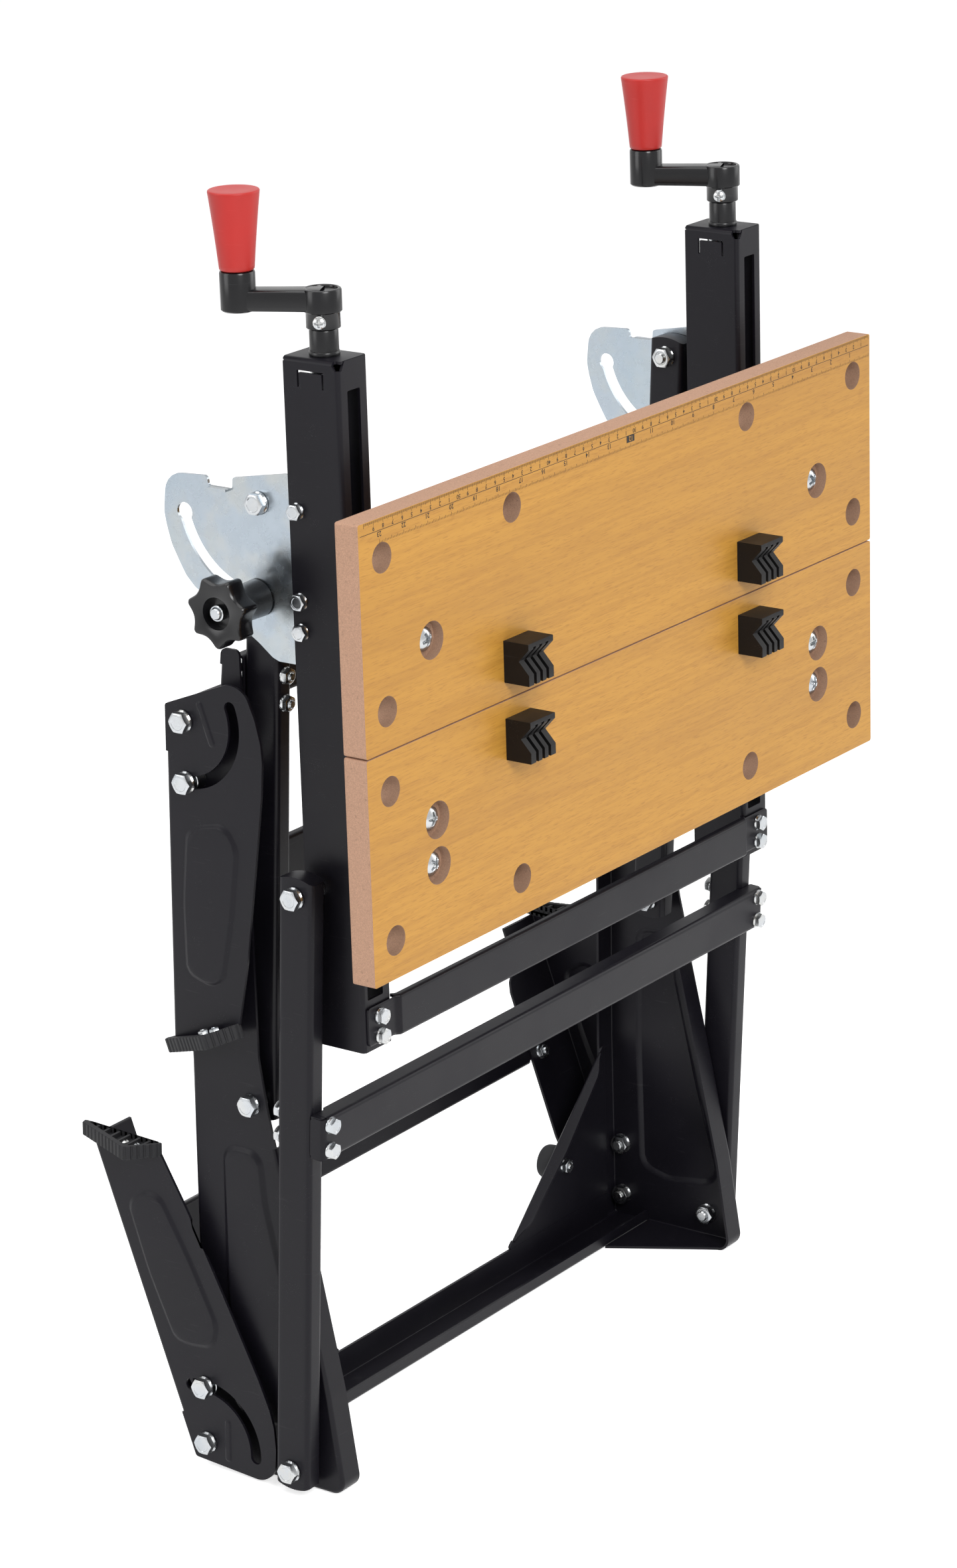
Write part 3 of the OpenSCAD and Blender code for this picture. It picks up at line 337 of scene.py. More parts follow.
def arc_slot(radius: float, width: float, start: float, end: float, end_width: float = 0.0) -> np.ndarray:
    """Return the outline of an arc slot about zero.

    Known fault: the first end's points run outward to inward, against the loop, so the
    outline crosses itself there and two teeth meet across the slot. Taken in reverse
    order they do not.

    Args:
        radius: Radius of its middle line.
        width: Width.
        start: Angle of its first end in degrees.
        end: Angle of its last end.
        end_width: Diameter of its ends where they are wider than the slot.

    Returns:
        Array of points.
    """
    t = np.radians(np.linspace(start, end, 28))[:, None]
    ray = np.concatenate([np.cos(t), np.sin(t)], axis=1)
    r_end = max(end_width, width) / 2
    away = math.acos(min(1.0, width / 2 / r_end))

    def cap(angle: float, sign: float) -> np.ndarray:
        """Return the round end at an angle.

        Args:
            angle: The end's angle in degrees.
            sign: 1 for the last end, -1 for the first.

        Returns:
            The end's points.
        """
        spread = np.radians(np.linspace(-90, 90, 17) * (1 + 2 * away / math.pi))[:, None] * sign
        turned = math.radians(angle) + sign * math.pi / 2 + spread
        middle = radius * np.array([[math.cos(math.radians(angle)), math.sin(math.radians(angle))]])
        return middle + r_end * np.concatenate([np.cos(turned), np.sin(turned)], axis=1)

    held = slice(2, -2) if end_width > width else slice(1, -1)
    return np.concatenate([(radius + width / 2) * ray[held], cap(end, 1.0), (radius - width / 2) * ray[held][::-1],
                           cap(start, -1.0)])


def normals(loop: np.ndarray) -> np.ndarray:
    """Return the unit normals at an outline's points that point out of it.

    Each is the mean of the two sides' normals, stretched by one over the cosine of half
    the turn so that an offset keeps its distance.

    Args:
        loop: The outline's points.

    Returns:
        One normal for each point.
    """
    ahead = np.roll(loop, -1, axis=0) - loop
    ahead /= np.maximum(np.linalg.norm(ahead, axis=1, keepdims=True), 1e-9)
    side = np.stack([ahead[:, 1], -ahead[:, 0]], axis=-1)
    both = side + np.roll(side, 1, axis=0)
    length = np.maximum(np.linalg.norm(both, axis=1, keepdims=True), 0.8)
    return both / length * np.minimum(2 / length, 1.6) * (1 if area(loop) > 0 else -1)


def area(loop: np.ndarray) -> float:
    """Return an outline's signed area."""
    ahead = np.roll(loop, -1, axis=0)
    return float(np.sum(loop[:, 0] * ahead[:, 1] - ahead[:, 0] * loop[:, 1]) / 2)


def inside(points: np.ndarray, loop: np.ndarray) -> np.ndarray:
    """Return which points lie in an outline, by the even-odd rule.

    Args:
        points: Points to test.
        loop: The outline's points.

    Returns:
        True for each point that lies inside.
    """
    x, y = points[:, :1], points[:, 1:]
    ahead = np.roll(loop, -1, axis=0)
    over = (loop[None, :, 1] > y) != (ahead[None, :, 1] > y)
    rise = np.where(ahead[:, 1] == loop[:, 1], 1e-9, ahead[:, 1] - loop[:, 1])
    cross = loop[:, 0] + (y - loop[:, 1]) * (ahead[:, 0] - loop[:, 0]) / rise
    return (np.sum(over & (x < cross), axis=1) % 2) == 1


def depth_in(points: np.ndarray, loop: np.ndarray) -> np.ndarray:
    """Return how far each point lies inside an outline, zero outside it.

    Args:
        points: Points to measure.
        loop: The outline's points.

    Returns:
        One distance for each point.
    """
    ahead = np.roll(loop, -1, axis=0) - loop
    span = points[:, None, :] - loop[None]
    share = np.clip(np.sum(span * ahead, axis=2) / np.maximum(np.sum(ahead**2, axis=1), 1e-9), 0, 1)
    near = np.linalg.norm(span - share[..., None] * ahead, axis=2).min(axis=1)
    return np.where(inside(points, loop), near, 0.0)


@dataclass
class Emboss:
    """Field pressed into sheet metal: its outline, the width of its slope and its height."""

    loop: np.ndarray
    slope: float
    height: float

    def rings(self) -> list:
        """Return the outline's offsets that carry the slope."""
        out = normals(self.loop)
        return [self.loop - out * self.slope * share for share in (-0.15, 0.0, 0.33, 0.66, 1.0)]

    def rise(self, points: np.ndarray) -> np.ndarray:
        """Return the height at points: the smooth step of the depth inside over the slope."""
        return self.height * smooth(depth_in(points, self.loop) / self.slope)


def blank(loop: np.ndarray, holes: list, rings: list | None = None, lines: list | None = None) -> tuple:
    """Fill an outline with triangles.

    Args:
        loop: Outer outline.
        holes: Outlines left open.
        rings: Further closed lines that the triangles follow.
        lines: Further open lines, each a pair of points.

    Returns:
        The flat points and the triangles.
    """
    points, edges = [], []
    for closed in [loop, *holes, *(rings or [])]:
        start, count = len(points), len(closed)
        points += closed.tolist()
        edges += [(start + k, start + (k + 1) % count) for k in range(count)]
    for a, b in lines or []:
        edges.append((len(points), len(points) + 1))
        points += [list(a), list(b)]
    made = geometry.delaunay_2d_cdt([Vector(p) for p in points], edges, [], 0, 1e-4)
    flat = np.array([tuple(v) for v in made[0]])
    tris = np.array([tuple(t) for t in made[2]])
    middle = flat[tris].mean(axis=1)
    kept = inside(middle, loop)
    for hole in holes:
        kept &= ~inside(middle, hole)
    return flat, [tuple(t) for t in tris[kept].tolist()]


def level(loop: np.ndarray, holes: list, depth: float) -> Surface:
    """Fill an outline with holes at one depth."""
    flat, tris = blank(loop, holes)
    return Surface(np.column_stack([flat, np.full(len(flat), depth)]), tris)


def upright(loop: np.ndarray, low: float, high: float) -> Surface:
    """Carry an outline from one depth to another as a wall."""
    return grid(np.stack([np.column_stack([loop, np.full(len(loop), d)]) for d in (low, high)]), close_columns=True)


def slab(loop: np.ndarray, holes: list, low: float, high: float) -> Surface:
    """Make a closed plate from an outline with holes.

    Args:
        loop: Outer outline in the plate's plane.
        holes: Outlines of its holes.
        low: Depth of one face.
        high: Depth of the other.

    Returns:
        Surface in (u, v, depth): faces wear finish 0, walls finish 1.
    """
    faces = [level(loop, holes, depth) for depth in (low, high)]
    return joined(*faces, *(upright(edge, low, high).wearing(1) for edge in [loop, *holes]))


def pressing(loop: np.ndarray, widths: np.ndarray, holes: list, embosses: list | None = None,
             bend: float = 3.0) -> Surface:
    """Press a blank into a plate with turned flanges.

    The plate lies at depth zero. Where a point of the outline has a flange, the sheet
    turns through a quarter circle, so at angle t it lies r (1 - sin t) inside the outline
    and r (1 - cos t) deep, and then runs straight to the flange's width.

    Args:
        loop: Outline of the pressing.
        widths: Flange width at each point of the outline, zero where it has none.
        holes: Outlines of the holes in the plate.
        embosses: Fields pressed into the plate.
        bend: Outer radius of the bends.

    Returns:
        Open surface in (u, v, depth).
    """
    embosses = embosses or []
    out = normals(loop)
    has = widths > 0
    order = []
    for i in range(len(loop)):
        if has[i] and not has[i - 1]:
            order.append((i, False))
        order.append((i, bool(has[i])))
        if has[i] and not has[(i + 1) % len(loop)]:
            order.append((i, False))
    edge = np.array([loop[i] - out[i] * (bend if on else 0.0) for i, on in order])
    flat, tris = blank(edge, holes, [r for e in embosses for r in e.rings()])
    depth = np.zeros(len(flat))
    for emboss in embosses:
        depth = depth - emboss.rise(flat)
    parts = [Surface(np.column_stack([flat, depth]), tris)]
    angle = np.linspace(0, np.pi / 2, 6)[:, None]
    for i in range(len(loop)):
        j = (i + 1) % len(loop)
        if not (has[i] and has[j]):
            continue
        rows = []
        for k in (i, j):
            u = loop[k] - out[k] * bend * (1 - np.sin(angle))
            arc = np.column_stack([u, bend * (1 - np.cos(angle))])
            end = np.append(loop[k], max(widths[k], bend + 0.4))
            rows.append(np.vstack([arc, end]))
        parts.append(grid(np.stack(rows)))
    return joined(*parts)


@dataclass
class Fold:
    """Path of a folded sheet's section: start, heading in degrees, then lengths and turns."""

    start: tuple
    heading: float
    runs: list
    bend: float = 3.0

    def pieces(self) -> list:
        """Return (start, length, point, heading, curvature) for each straight and bend."""
        parts, s = [], 0.0
        point, heading = np.array(self.start, dtype=float), math.radians(self.heading)
        for kind, value in self.runs:
            curve = 0.0 if kind == "run" else math.copysign(1 / self.bend, value)
            length = value if kind == "run" else self.bend * math.radians(abs(value))
            parts.append((s, length, point.copy(), heading, curve))
            s += length
            if kind == "run":
                point = point + length * np.array([math.cos(heading), math.sin(heading)])
            else:
                after = heading + math.radians(value)
                point = point + np.array([math.sin(after) - math.sin(heading),
                                          math.cos(heading) - math.cos(after)]) / curve
                heading = after
        return parts

    def length(self) -> float:
        """Return the path's whole length."""
        last = self.pieces()[-1]
        return last[0] + last[1]

    def creases(self) -> list:
        """Return the places along the path where a bend starts, is divided or ends."""
        return [s + length * k / 5 for s, length, _, _, curve in self.pieces() if curve for k in range(6)]

    def place(self, u: np.ndarray) -> np.ndarray:
        """Return the point of the path at each length u, straight or on the bend's circle.

        Args:
            u: Lengths along the path.

        Returns:
            One point for each length.
        """
        out = np.zeros((len(u), 2))
        for s, length, point, heading, curve in self.pieces():
            on = (u >= s - 1e-6)
            run = u[on] - s
            if curve:
                after = heading + run * curve
                step = np.column_stack([np.sin(after) - math.sin(heading),
                                        math.cos(heading) - np.cos(after)]) / curve
            else:
                step = run[:, None] * np.array([[math.cos(heading), math.sin(heading)]])
            out[on] = point + step
        return out


def channel_fold(face: float, lip: float, high: float, height: float, bend: float) -> Fold:
    """Return a channel's section in (Y, Z): web at the face, a lip behind its top and its foot.

    Args:
        face: Where the web's outer face lies in Y.
        lip: Depth of the lips.
        high: Top edge in Z.
        height: Height of the web.
        bend: Outer bend radius.

    Returns:
        The section.
    """
    return Fold((face + lip, high), 180, [("run", lip - bend), ("bend", 90), ("run", height - 2 * bend),
                                          ("bend", 90), ("run", lip - bend)], bend)


def eared(inner: float, outer: float, top: float, foot: float, full: float) -> np.ndarray:
    """Return a channel's flat blank whose web runs on past the lips, from inner to outer.

    Args:
        inner: Half width of the lips.
        outer: Half width of the web.
        top: Where the web's upper edge lies on the blank.
        foot: Where its lower edge lies.
        full: The blank's whole developed length.

    Returns:
        The outline.
    """
    half = [(0, inner), (top, inner), (top, outer), (foot, outer), (foot, inner), (full, inner)]
    corners = [(0, -inner), *half, *((u, -w) for u, w in half[:0:-1])]
    return rounded(corners, [1.5, 1.5, 0.8, 3, 3, 0.8] * 2, 4)


def folded(section: Fold, loop: np.ndarray, holes: list, along: Fold | None = None, cuts: tuple = (),
           ears: tuple | None = None) -> Surface:
    """Fold a flat blank along its section.

    The blank's first coordinate is the length along the section, the second the length
    across the bench, which may follow a second path.

    Args:
        section: Path in (Y, Z) that the first coordinate follows.
        loop: Outline of the flat blank.
        holes: Its holes.
        along: Path in (X, Y) that the second coordinate follows, or None for straight.
        cuts: Places across the bench where the surface also gets a line of points.
        ears: Half width past which the sheet stays flat, its middle, and the length at
            which its plane is met; or None where all of it is folded.

    Returns:
        Open surface in (X, Y, Z).
    """
    low, high = loop.min(axis=0), loop.max(axis=0)
    lines = [((u, low[1] - 1), (u, high[1] + 1)) for u in section.creases() if low[0] < u < high[0]]
    if along:
        lines += [((low[0] - 1, w), (high[0] + 1, w)) for w in along.creases()]
    lines += [((low[0] - 1, w), (high[0] + 1, w)) for w in cuts]
    flat, tris = blank(loop, holes, lines=lines)
    used = np.unique(np.array(tris))
    index = np.full(len(flat), -1)
    index[used] = np.arange(len(used))
    flat, tris = flat[used], [tuple(index[list(t)].tolist()) for t in tris]
    yz = section.place(flat[:, 0])
    if ears:
        past, plane = abs(flat[:, 1] - ears[1]) > ears[0], section.place(np.array([ears[2], ears[2] + 1.0]))
        yz[past] = plane[0] + (flat[past, :1] - ears[2]) * (plane[1] - plane[0])
    if along:
        xy = along.place(flat[:, 1])
        return Surface(np.column_stack([xy[:, 0], yz[:, 0] + xy[:, 1], yz[:, 1]]), tris)
    return Surface(np.column_stack([flat[:, 1], yz]), tris)


def tube(x0: float, x1: float, width: float, length: float, corner: float = 3.5) -> Surface:
    """Make a flat tube along Z whose ends are closed by a shallow arch.

    The section is a rounded rectangle in (X, Y). Past each pivot the wall at depth y
    reaches the half width less 3 mm times (y over the half width) squared.

    Args:
        x0: One side.
        x1: The other side.
        width: Width along Y.
        length: Length between the pivots.
        corner: Radius of the section's corners.

    Returns:
        Closed surface in (X, Y, Z).
    """
    r, a = width / 2, np.linspace(0, np.pi / 2, 6)
    edge, inset = r - corner * (1 - np.sin(a)), corner * (1 - np.cos(a))
    y = np.concatenate([-edge[::-1], np.linspace(corner - r, r - corner, 9)[1:-1], edge])
    s = np.concatenate([inset[::-1], np.zeros(7), inset])
    section = np.column_stack([np.append(x1 - s, (x0 + s)[::-1]), np.append(y, y[::-1])])
    reach = r - 3.0 * (section[:, 1] / r) ** 2
    z = -reach + np.linspace(0, 1, 5)[:, None] * (length + 2 * reach)
    points = np.stack([np.broadcast_to(section[:, 0], z.shape), np.broadcast_to(section[:, 1], z.shape), z], axis=-1)
    caps = [grid(np.stack([row[:len(y)], row[len(y):][::-1]])) for row in (points[0], points[-1])]
    return joined(grid(points, close_columns=True), *caps)


def digits(text: str, size: float) -> Surface:
    """Return a number as flat faces about its middle.

    Args:
        text: The figures.
        size: Height of the figures in millimetres.

    Returns:
        Surface in (u, v, 0).
    """
    curve = bpy.data.curves.new("figures", "FONT")
    curve.body, curve.size, curve.resolution_u, curve.offset = text, size * 1.38, 3, size * 0.02
    carrier = bpy.data.objects.new("figures", curve)
    bpy.context.collection.objects.link(carrier)
    graph = bpy.context.evaluated_depsgraph_get()
    mesh = bpy.data.meshes.new_from_object(carrier.evaluated_get(graph))
    points = np.zeros(len(mesh.vertices) * 3)
    mesh.vertices.foreach_get("co", points)
    points = points.reshape(-1, 3)
    faces = [tuple(polygon.vertices) for polygon in mesh.polygons]
    bpy.data.objects.remove(carrier)
    bpy.data.curves.remove(curve)
    bpy.data.meshes.remove(mesh)
    points[:, :2] -= (points[:, :2].min(axis=0) + points[:, :2].max(axis=0)) / 2
    return Surface(points, faces)


# Finishes


class Graph:
    """Short way to add and join nodes in one tree."""

    def __init__(self, tree: bpy.types.NodeTree) -> None:
        """Keep the tree."""
        self.tree = tree

    def add(self, kind: str, inputs: dict | None = None, **settings: object) -> bpy.types.Node:
        """Add a node.

        Args:
            kind: Node type.
            inputs: Values or sockets for its inputs, by name or number.
            settings: Its other settings.

        Returns:
            The node.
        """
        node = self.tree.nodes.new(kind)
        for key, value in settings.items():
            setattr(node, key, value)
        for key, value in (inputs or {}).items():
            if isinstance(value, bpy.types.NodeSocket):
                self.tree.links.new(value, node.inputs[key])
            else:
                node.inputs[key].default_value = value
        return node

    def noise(self, place: bpy.types.NodeSocket, scale: float, detail: float = 3.0,
              roughness: float = 0.55) -> bpy.types.NodeSocket:
        """Return the value of a noise texture."""
        return self.add("ShaderNodeTexNoise", {"Vector": place, "Scale": scale, "Detail": detail,
                                               "Roughness": roughness}).outputs["Fac"]

    def ranged(self, value: bpy.types.NodeSocket, low: float, high: float, to_low: float = 0.0,
               to_high: float = 1.0) -> bpy.types.NodeSocket:
        """Return a value carried smoothly from one range to another."""
        return self.add("ShaderNodeMapRange", {"Value": value, "From Min": low, "From Max": high, "To Min": to_low,
                                               "To Max": to_high}, interpolation_type="SMOOTHSTEP").outputs["Result"]

    def mixed(self, share: bpy.types.NodeSocket | float, one: object, two: object) -> bpy.types.NodeSocket:
        """Return a mix of two colours.

        Args:
            share: Share of the second colour.
            one: First colour.
            two: Second colour.

        Returns:
            The mixed colour.
        """
        node = self.add("ShaderNodeMix", data_type="RGBA")
        for number, value in ((0, share), (6, one), (7, two)):
            if isinstance(value, bpy.types.NodeSocket):
                self.tree.links.new(value, node.inputs[number])
            elif number == 0:
                node.inputs[number].default_value = value
            else:
                node.inputs[number].default_value = (*value, 1.0)
        return node.outputs[2]

    def math(self, operation: str, *values: object) -> bpy.types.NodeSocket:
        """Return the result of a sum or product."""
        return self.add("ShaderNodeMath", dict(enumerate(values)), operation=operation).outputs[0]


def new_group(name: str, inputs: dict, outputs: dict) -> tuple:
    """Start a node group with named sockets.

    Args:
        name: Its name.
        inputs: Default value of each input; a float or a colour.
        outputs: Socket type of each output.

    Returns:
        The group, its graph, its input sockets and its output node.
    """
    group = bpy.data.node_groups.new(name, "ShaderNodeTree")
    for label, value in inputs.items():
        kind = "NodeSocketFloat" if isinstance(value, float) else "NodeSocketColor"
        socket = group.interface.new_socket(label, in_out="INPUT", socket_type=kind)
        socket.default_value = value if isinstance(value, float) else (*value, 1.0)
    for label, kind in outputs.items():
        group.interface.new_socket(label, in_out="OUTPUT", socket_type=kind)
    graph = Graph(group)
    return group, graph, graph.add("NodeGroupInput").outputs, graph.add("NodeGroupOutput")


def grit_group() -> bpy.types.NodeTree:
    """Build the group for the fine skin of paint and mouldings.

    Outputs a height of small bumps, a mask of pale specks of dust, and slow blotches
    for the roughness.
    """
    group, g, given, out = new_group("fine_skin", {"Bump scale": 700.0, "Speck scale": 900.0, "Speck share": 0.3},
                                     {"Height": "NodeSocketFloat", "Specks": "NodeSocketFloat",
                                      "Blotches": "NodeSocketFloat"})
    place = g.add("ShaderNodeTexCoord").outputs["Object"]
    bumps = g.add("ShaderNodeTexNoise", {"Vector": place, "Scale": given["Bump scale"], "Detail": 2.0})
    dots = g.add("ShaderNodeTexVoronoi", {"Vector": place, "Scale": given["Speck scale"]})
    where = g.ranged(g.noise(place, 60.0), 0.42, 0.7)
    reach = g.math("MULTIPLY", given["Speck share"], where)
    dot = g.math("LESS_THAN", dots.outputs["Distance"], reach)
    g.tree.links.new(bumps.outputs["Fac"], out.inputs["Height"])
    g.tree.links.new(dot, out.inputs["Specks"])
    g.tree.links.new(g.noise(place, 14.0, 4.0), out.inputs["Blotches"])
    return group


def wear_group() -> bpy.types.NodeTree:
    """Build the group for light scuffs: long thin scratches and cloudy rubbed spots."""
    group, g, given, out = new_group("scuffs", {"Scratch scale": 40.0, "Share": 0.5},
                                     {"Scratches": "NodeSocketFloat", "Rubbed": "NodeSocketFloat"})
    place = g.add("ShaderNodeTexCoord").outputs["Object"]
    turned = g.add("ShaderNodeMapping", {"Vector": place, "Rotation": (0.5, 0.9, 0.3), "Scale": (1.0, 1.0, 14.0)})
    thin = g.add("ShaderNodeTexNoise", {"Vector": turned.outputs[0], "Scale": given["Scratch scale"], "Detail": 5.0})
    line = g.ranged(thin.outputs["Fac"], 0.66, 0.72)
    patch = g.ranged(g.noise(place, 9.0, 5.0), 0.5, 0.72)
    g.tree.links.new(g.math("MULTIPLY", line, given["Share"]), out.inputs["Scratches"])
    g.tree.links.new(g.math("MULTIPLY", patch, given["Share"]), out.inputs["Rubbed"])
    return group


GRIT = grit_group()
SCUFFS = wear_group()


@dataclass(frozen=True)
class Finish:
    """A finish: its name, its slot in the record, its colour and its gloss."""

    name: str
    slot: str
    colour: tuple
    roughness: float = 0.5
    metallic: float = 0.0
    specular: float = 0.5

    def start(self) -> tuple:
        """Start the material.

        Returns:
            The material, its graph, its Principled node and the object coordinates.
        """
        material = bpy.data.materials.new(self.name)
        material.use_nodes = True
        material.diffuse_color = (*self.colour, 1.0)
        tree = material.node_tree
        tree.nodes.clear()
        g = Graph(tree)
        shader = g.add("ShaderNodeBsdfPrincipled", {"Metallic": self.metallic, "Roughness": self.roughness,
                                                    "Base Color": (*self.colour, 1.0),
                                                    "Specular IOR Level": self.specular})
        out = g.add("ShaderNodeOutputMaterial")
        tree.links.new(shader.outputs[0], out.inputs[0])
        return material, g, shader, g.add("ShaderNodeTexCoord").outputs["Object"]

    def close(self, g: Graph, shader: bpy.types.Node, base: bpy.types.NodeSocket,
              rough: bpy.types.NodeSocket) -> None:
        """Feed the colour and the roughness to the shader."""
        g.tree.links.new(base, shader.inputs["Base Color"])
        g.tree.links.new(rough, shader.inputs["Roughness"])

    def bump(self, g: Graph, shader: bpy.types.Node, height: bpy.types.NodeSocket, strength: float,
             distance: float) -> None:
        """Feed a height to the shader through a bump node."""
        node = g.add("ShaderNodeBump", {"Height": height, "Strength": strength, "Distance": distance})
        g.tree.links.new(node.outputs[0], shader.inputs["Normal"])


@dataclass(frozen=True)
class Coated(Finish):
    """Powder coat, moulded plastic, rubber or lacquer: fine bumps, dust specks and scuffs."""

    bumps: float = 700.0
    depth: float = 0.00006
    specks: float = 0.16
    speck_colour: tuple = (0.09, 0.09, 0.095)
    scuff: float = 0.2
    scuff_colour: tuple = (0.035, 0.035, 0.038)

    def build(self) -> bpy.types.Material:
        """Build the material."""
        material, g, shader, _ = self.start()
        skin = g.add("ShaderNodeGroup", node_tree=GRIT)
        skin.inputs["Bump scale"].default_value = self.bumps
        skin.inputs["Speck share"].default_value = self.specks
        worn = g.add("ShaderNodeGroup", node_tree=SCUFFS)
        worn.inputs["Share"].default_value = self.scuff
        dark = tuple(c * 0.82 for c in self.colour)
        base = g.mixed(skin.outputs["Blotches"], dark, tuple(min(1.0, c * 1.2) for c in self.colour))
        base = g.mixed(worn.outputs["Scratches"], base, self.scuff_colour)
        base = g.mixed(g.math("MULTIPLY", skin.outputs["Specks"], 0.5), base, self.speck_colour)
        rough = g.ranged(skin.outputs["Blotches"], 0.3, 0.7, self.roughness - 0.06, self.roughness + 0.07)
        rough = g.math("ADD", rough, g.math("MULTIPLY", worn.outputs["Rubbed"], 0.1))
        self.close(g, shader, base, rough)
        self.bump(g, shader, skin.outputs["Height"], 0.5, self.depth)
        return material


@dataclass(frozen=True)
class Plated(Finish):
    """Zinc plate: cloudy blue and yellow tones, fine brushing and dull spots."""

    warm: tuple = (0.7, 0.66, 0.56)
    cool: tuple = (0.5, 0.57, 0.66)
    cloud: float = 18.0

    def build(self) -> bpy.types.Material:
        """Build the material."""
        material, g, shader, place = self.start()
        worn = g.add("ShaderNodeGroup", node_tree=SCUFFS)
        worn.inputs["Scratch scale"].default_value = 160.0
        tone = g.ranged(g.noise(place, self.cloud * 2, 3.0), 0.4, 0.7)
        base = g.mixed(g.math("MULTIPLY", tone, 0.4), self.colour, self.warm)
        base = g.mixed(g.math("MULTIPLY", g.ranged(g.noise(place, self.cloud, 2.0), 0.45, 0.7), 0.5), base, self.cool)
        base = g.mixed(g.math("MULTIPLY", worn.outputs["Scratches"], 0.25), base, (0.3, 0.31, 0.33))
        rough = g.ranged(g.noise(place, 90.0, 3.0), 0.3, 0.7, self.roughness - 0.05, self.roughness + 0.05)
        self.close(g, shader, base, rough)
        self.bump(g, shader, g.noise(place, 500.0, 1.0), 0.12, 0.00002)
        return material


@dataclass(frozen=True)
class Laminate(Finish):
    """Printed wood laminate: long flecks along the bench over a mottled ground."""

    fleck: tuple = (0.33, 0.135, 0.02)
    pale: tuple = (0.58, 0.29, 0.048)

    def build(self) -> bpy.types.Material:
        """Build the material."""
        material, g, shader, place = self.start()
        long = g.add("ShaderNodeMapping", {"Vector": place, "Scale": (0.05, 1.0, 1.0)}).outputs[0]
        short = g.add("ShaderNodeMapping", {"Vector": place, "Scale": (0.07, 1.0, 1.0)}).outputs[0]
        bands = g.noise(long, 26.0, 3.0, 0.5)
        base = g.mixed(g.ranged(bands, 0.25, 0.75), self.colour, self.pale)
        streaks = g.ranged(g.noise(long, 380.0, 2.0, 0.5), 0.35, 0.75)
        base = g.mixed(g.math("MULTIPLY", streaks, 0.3), base, self.fleck)
        pores = g.ranged(g.noise(short, 1500.0, 2.0, 0.5), 0.54, 0.68)
        base = g.mixed(g.math("MULTIPLY", pores, 0.45), base, self.fleck)
        rough = g.ranged(bands, 0.3, 0.7, self.roughness - 0.04, self.roughness + 0.05)
        self.close(g, shader, base, rough)
        self.bump(g, shader, pores, 0.2, 0.00003)
        return material


@dataclass(frozen=True)
class Fibre(Finish):
    """Sawn fibreboard: felted short fibres, darker flecks and a dusty surface."""

    def build(self) -> bpy.types.Material:
        """Build the material."""
        material, g, shader, place = self.start()
        felt = g.noise(place, 1400.0, 5.0, 0.7)
        base = g.mixed(g.ranged(felt, 0.35, 0.7), tuple(c * 0.72 for c in self.colour), self.colour)
        flecks = g.ranged(g.noise(place, 420.0, 3.0), 0.62, 0.72)
        base = g.mixed(g.math("MULTIPLY", flecks, 0.5), base, tuple(c * 0.45 for c in self.colour))
        g.tree.links.new(base, shader.inputs["Base Color"])
        g.tree.links.new(g.ranged(felt, 0.3, 0.7, self.roughness - 0.05, self.roughness), shader.inputs["Roughness"])
        self.bump(g, shader, felt, 0.6, 0.0001)
        return material


class Look(Enum):
    """The bench's finishes."""

    STEEL = Coated("powder_coat", "black_steel", (0.0066, 0.006, 0.009), 0.36, 0.0, 0.17, bumps=620.0,
                   depth=0.00004)
    ZINC = Plated("zinc_plating", "zinc_steel", (0.46, 0.475, 0.49), 0.24, 1.0, warm=(0.52, 0.5, 0.44),
                  cool=(0.36, 0.4, 0.45), cloud=40.0)
    PLATE = Plated("passivated_plate", "zinc_plate", (0.34, 0.385, 0.43), 0.26, 1.0, warm=(0.46, 0.44, 0.38),
                   cool=(0.3, 0.37, 0.43))
    BOARD = Laminate("beech_laminate", "beech_board", (0.5, 0.24, 0.032), 0.42, 0.0, 0.35)
    EDGE = Fibre("fibreboard_edge", "beech_board", (0.56, 0.33, 0.22), 0.9)
    # The fibreboard for the holes is the sawn edge's fibreboard made about a fifth darker: painted shade in the bores.
    SHADED_BORE = Fibre("fibreboard_bore_painted_shade", "beech_board", (0.44, 0.27, 0.18), 0.92)
    GRIP = Coated("red_grip_plastic", "red_grip", (0.46, 0.024, 0.02), 0.4, 0.0, 0.35, bumps=300.0, depth=0.00002,
                  specks=0.06, speck_colour=(0.7, 0.2, 0.18), scuff=0.12, scuff_colour=(0.66, 0.1, 0.09))
    PLASTIC = Coated("black_moulding", "black_plastic", (0.0065, 0.006, 0.0062), 0.46, 0.0, 0.18, bumps=1100.0,
                     depth=0.00004)
    GLOSS = Coated("black_lacquer", "black_gloss", (0.005, 0.005, 0.006), 0.22, 0.0, 0.36, bumps=260.0,
                   depth=0.00003, specks=0.1)
    RUBBER = Coated("foot_rubber", "rubber", (0.016, 0.016, 0.018), 0.68, 0.0, 0.3, bumps=900.0, depth=0.00008)
    INK = Coated("ruler_ink", "beech_board", (0.012, 0.01, 0.009), 0.5, 0.0, 0.3, bumps=900.0, depth=0.00001,
                 specks=0.05, scuff=0.1)


MATERIALS = {look: look.value.build() for look in Look}


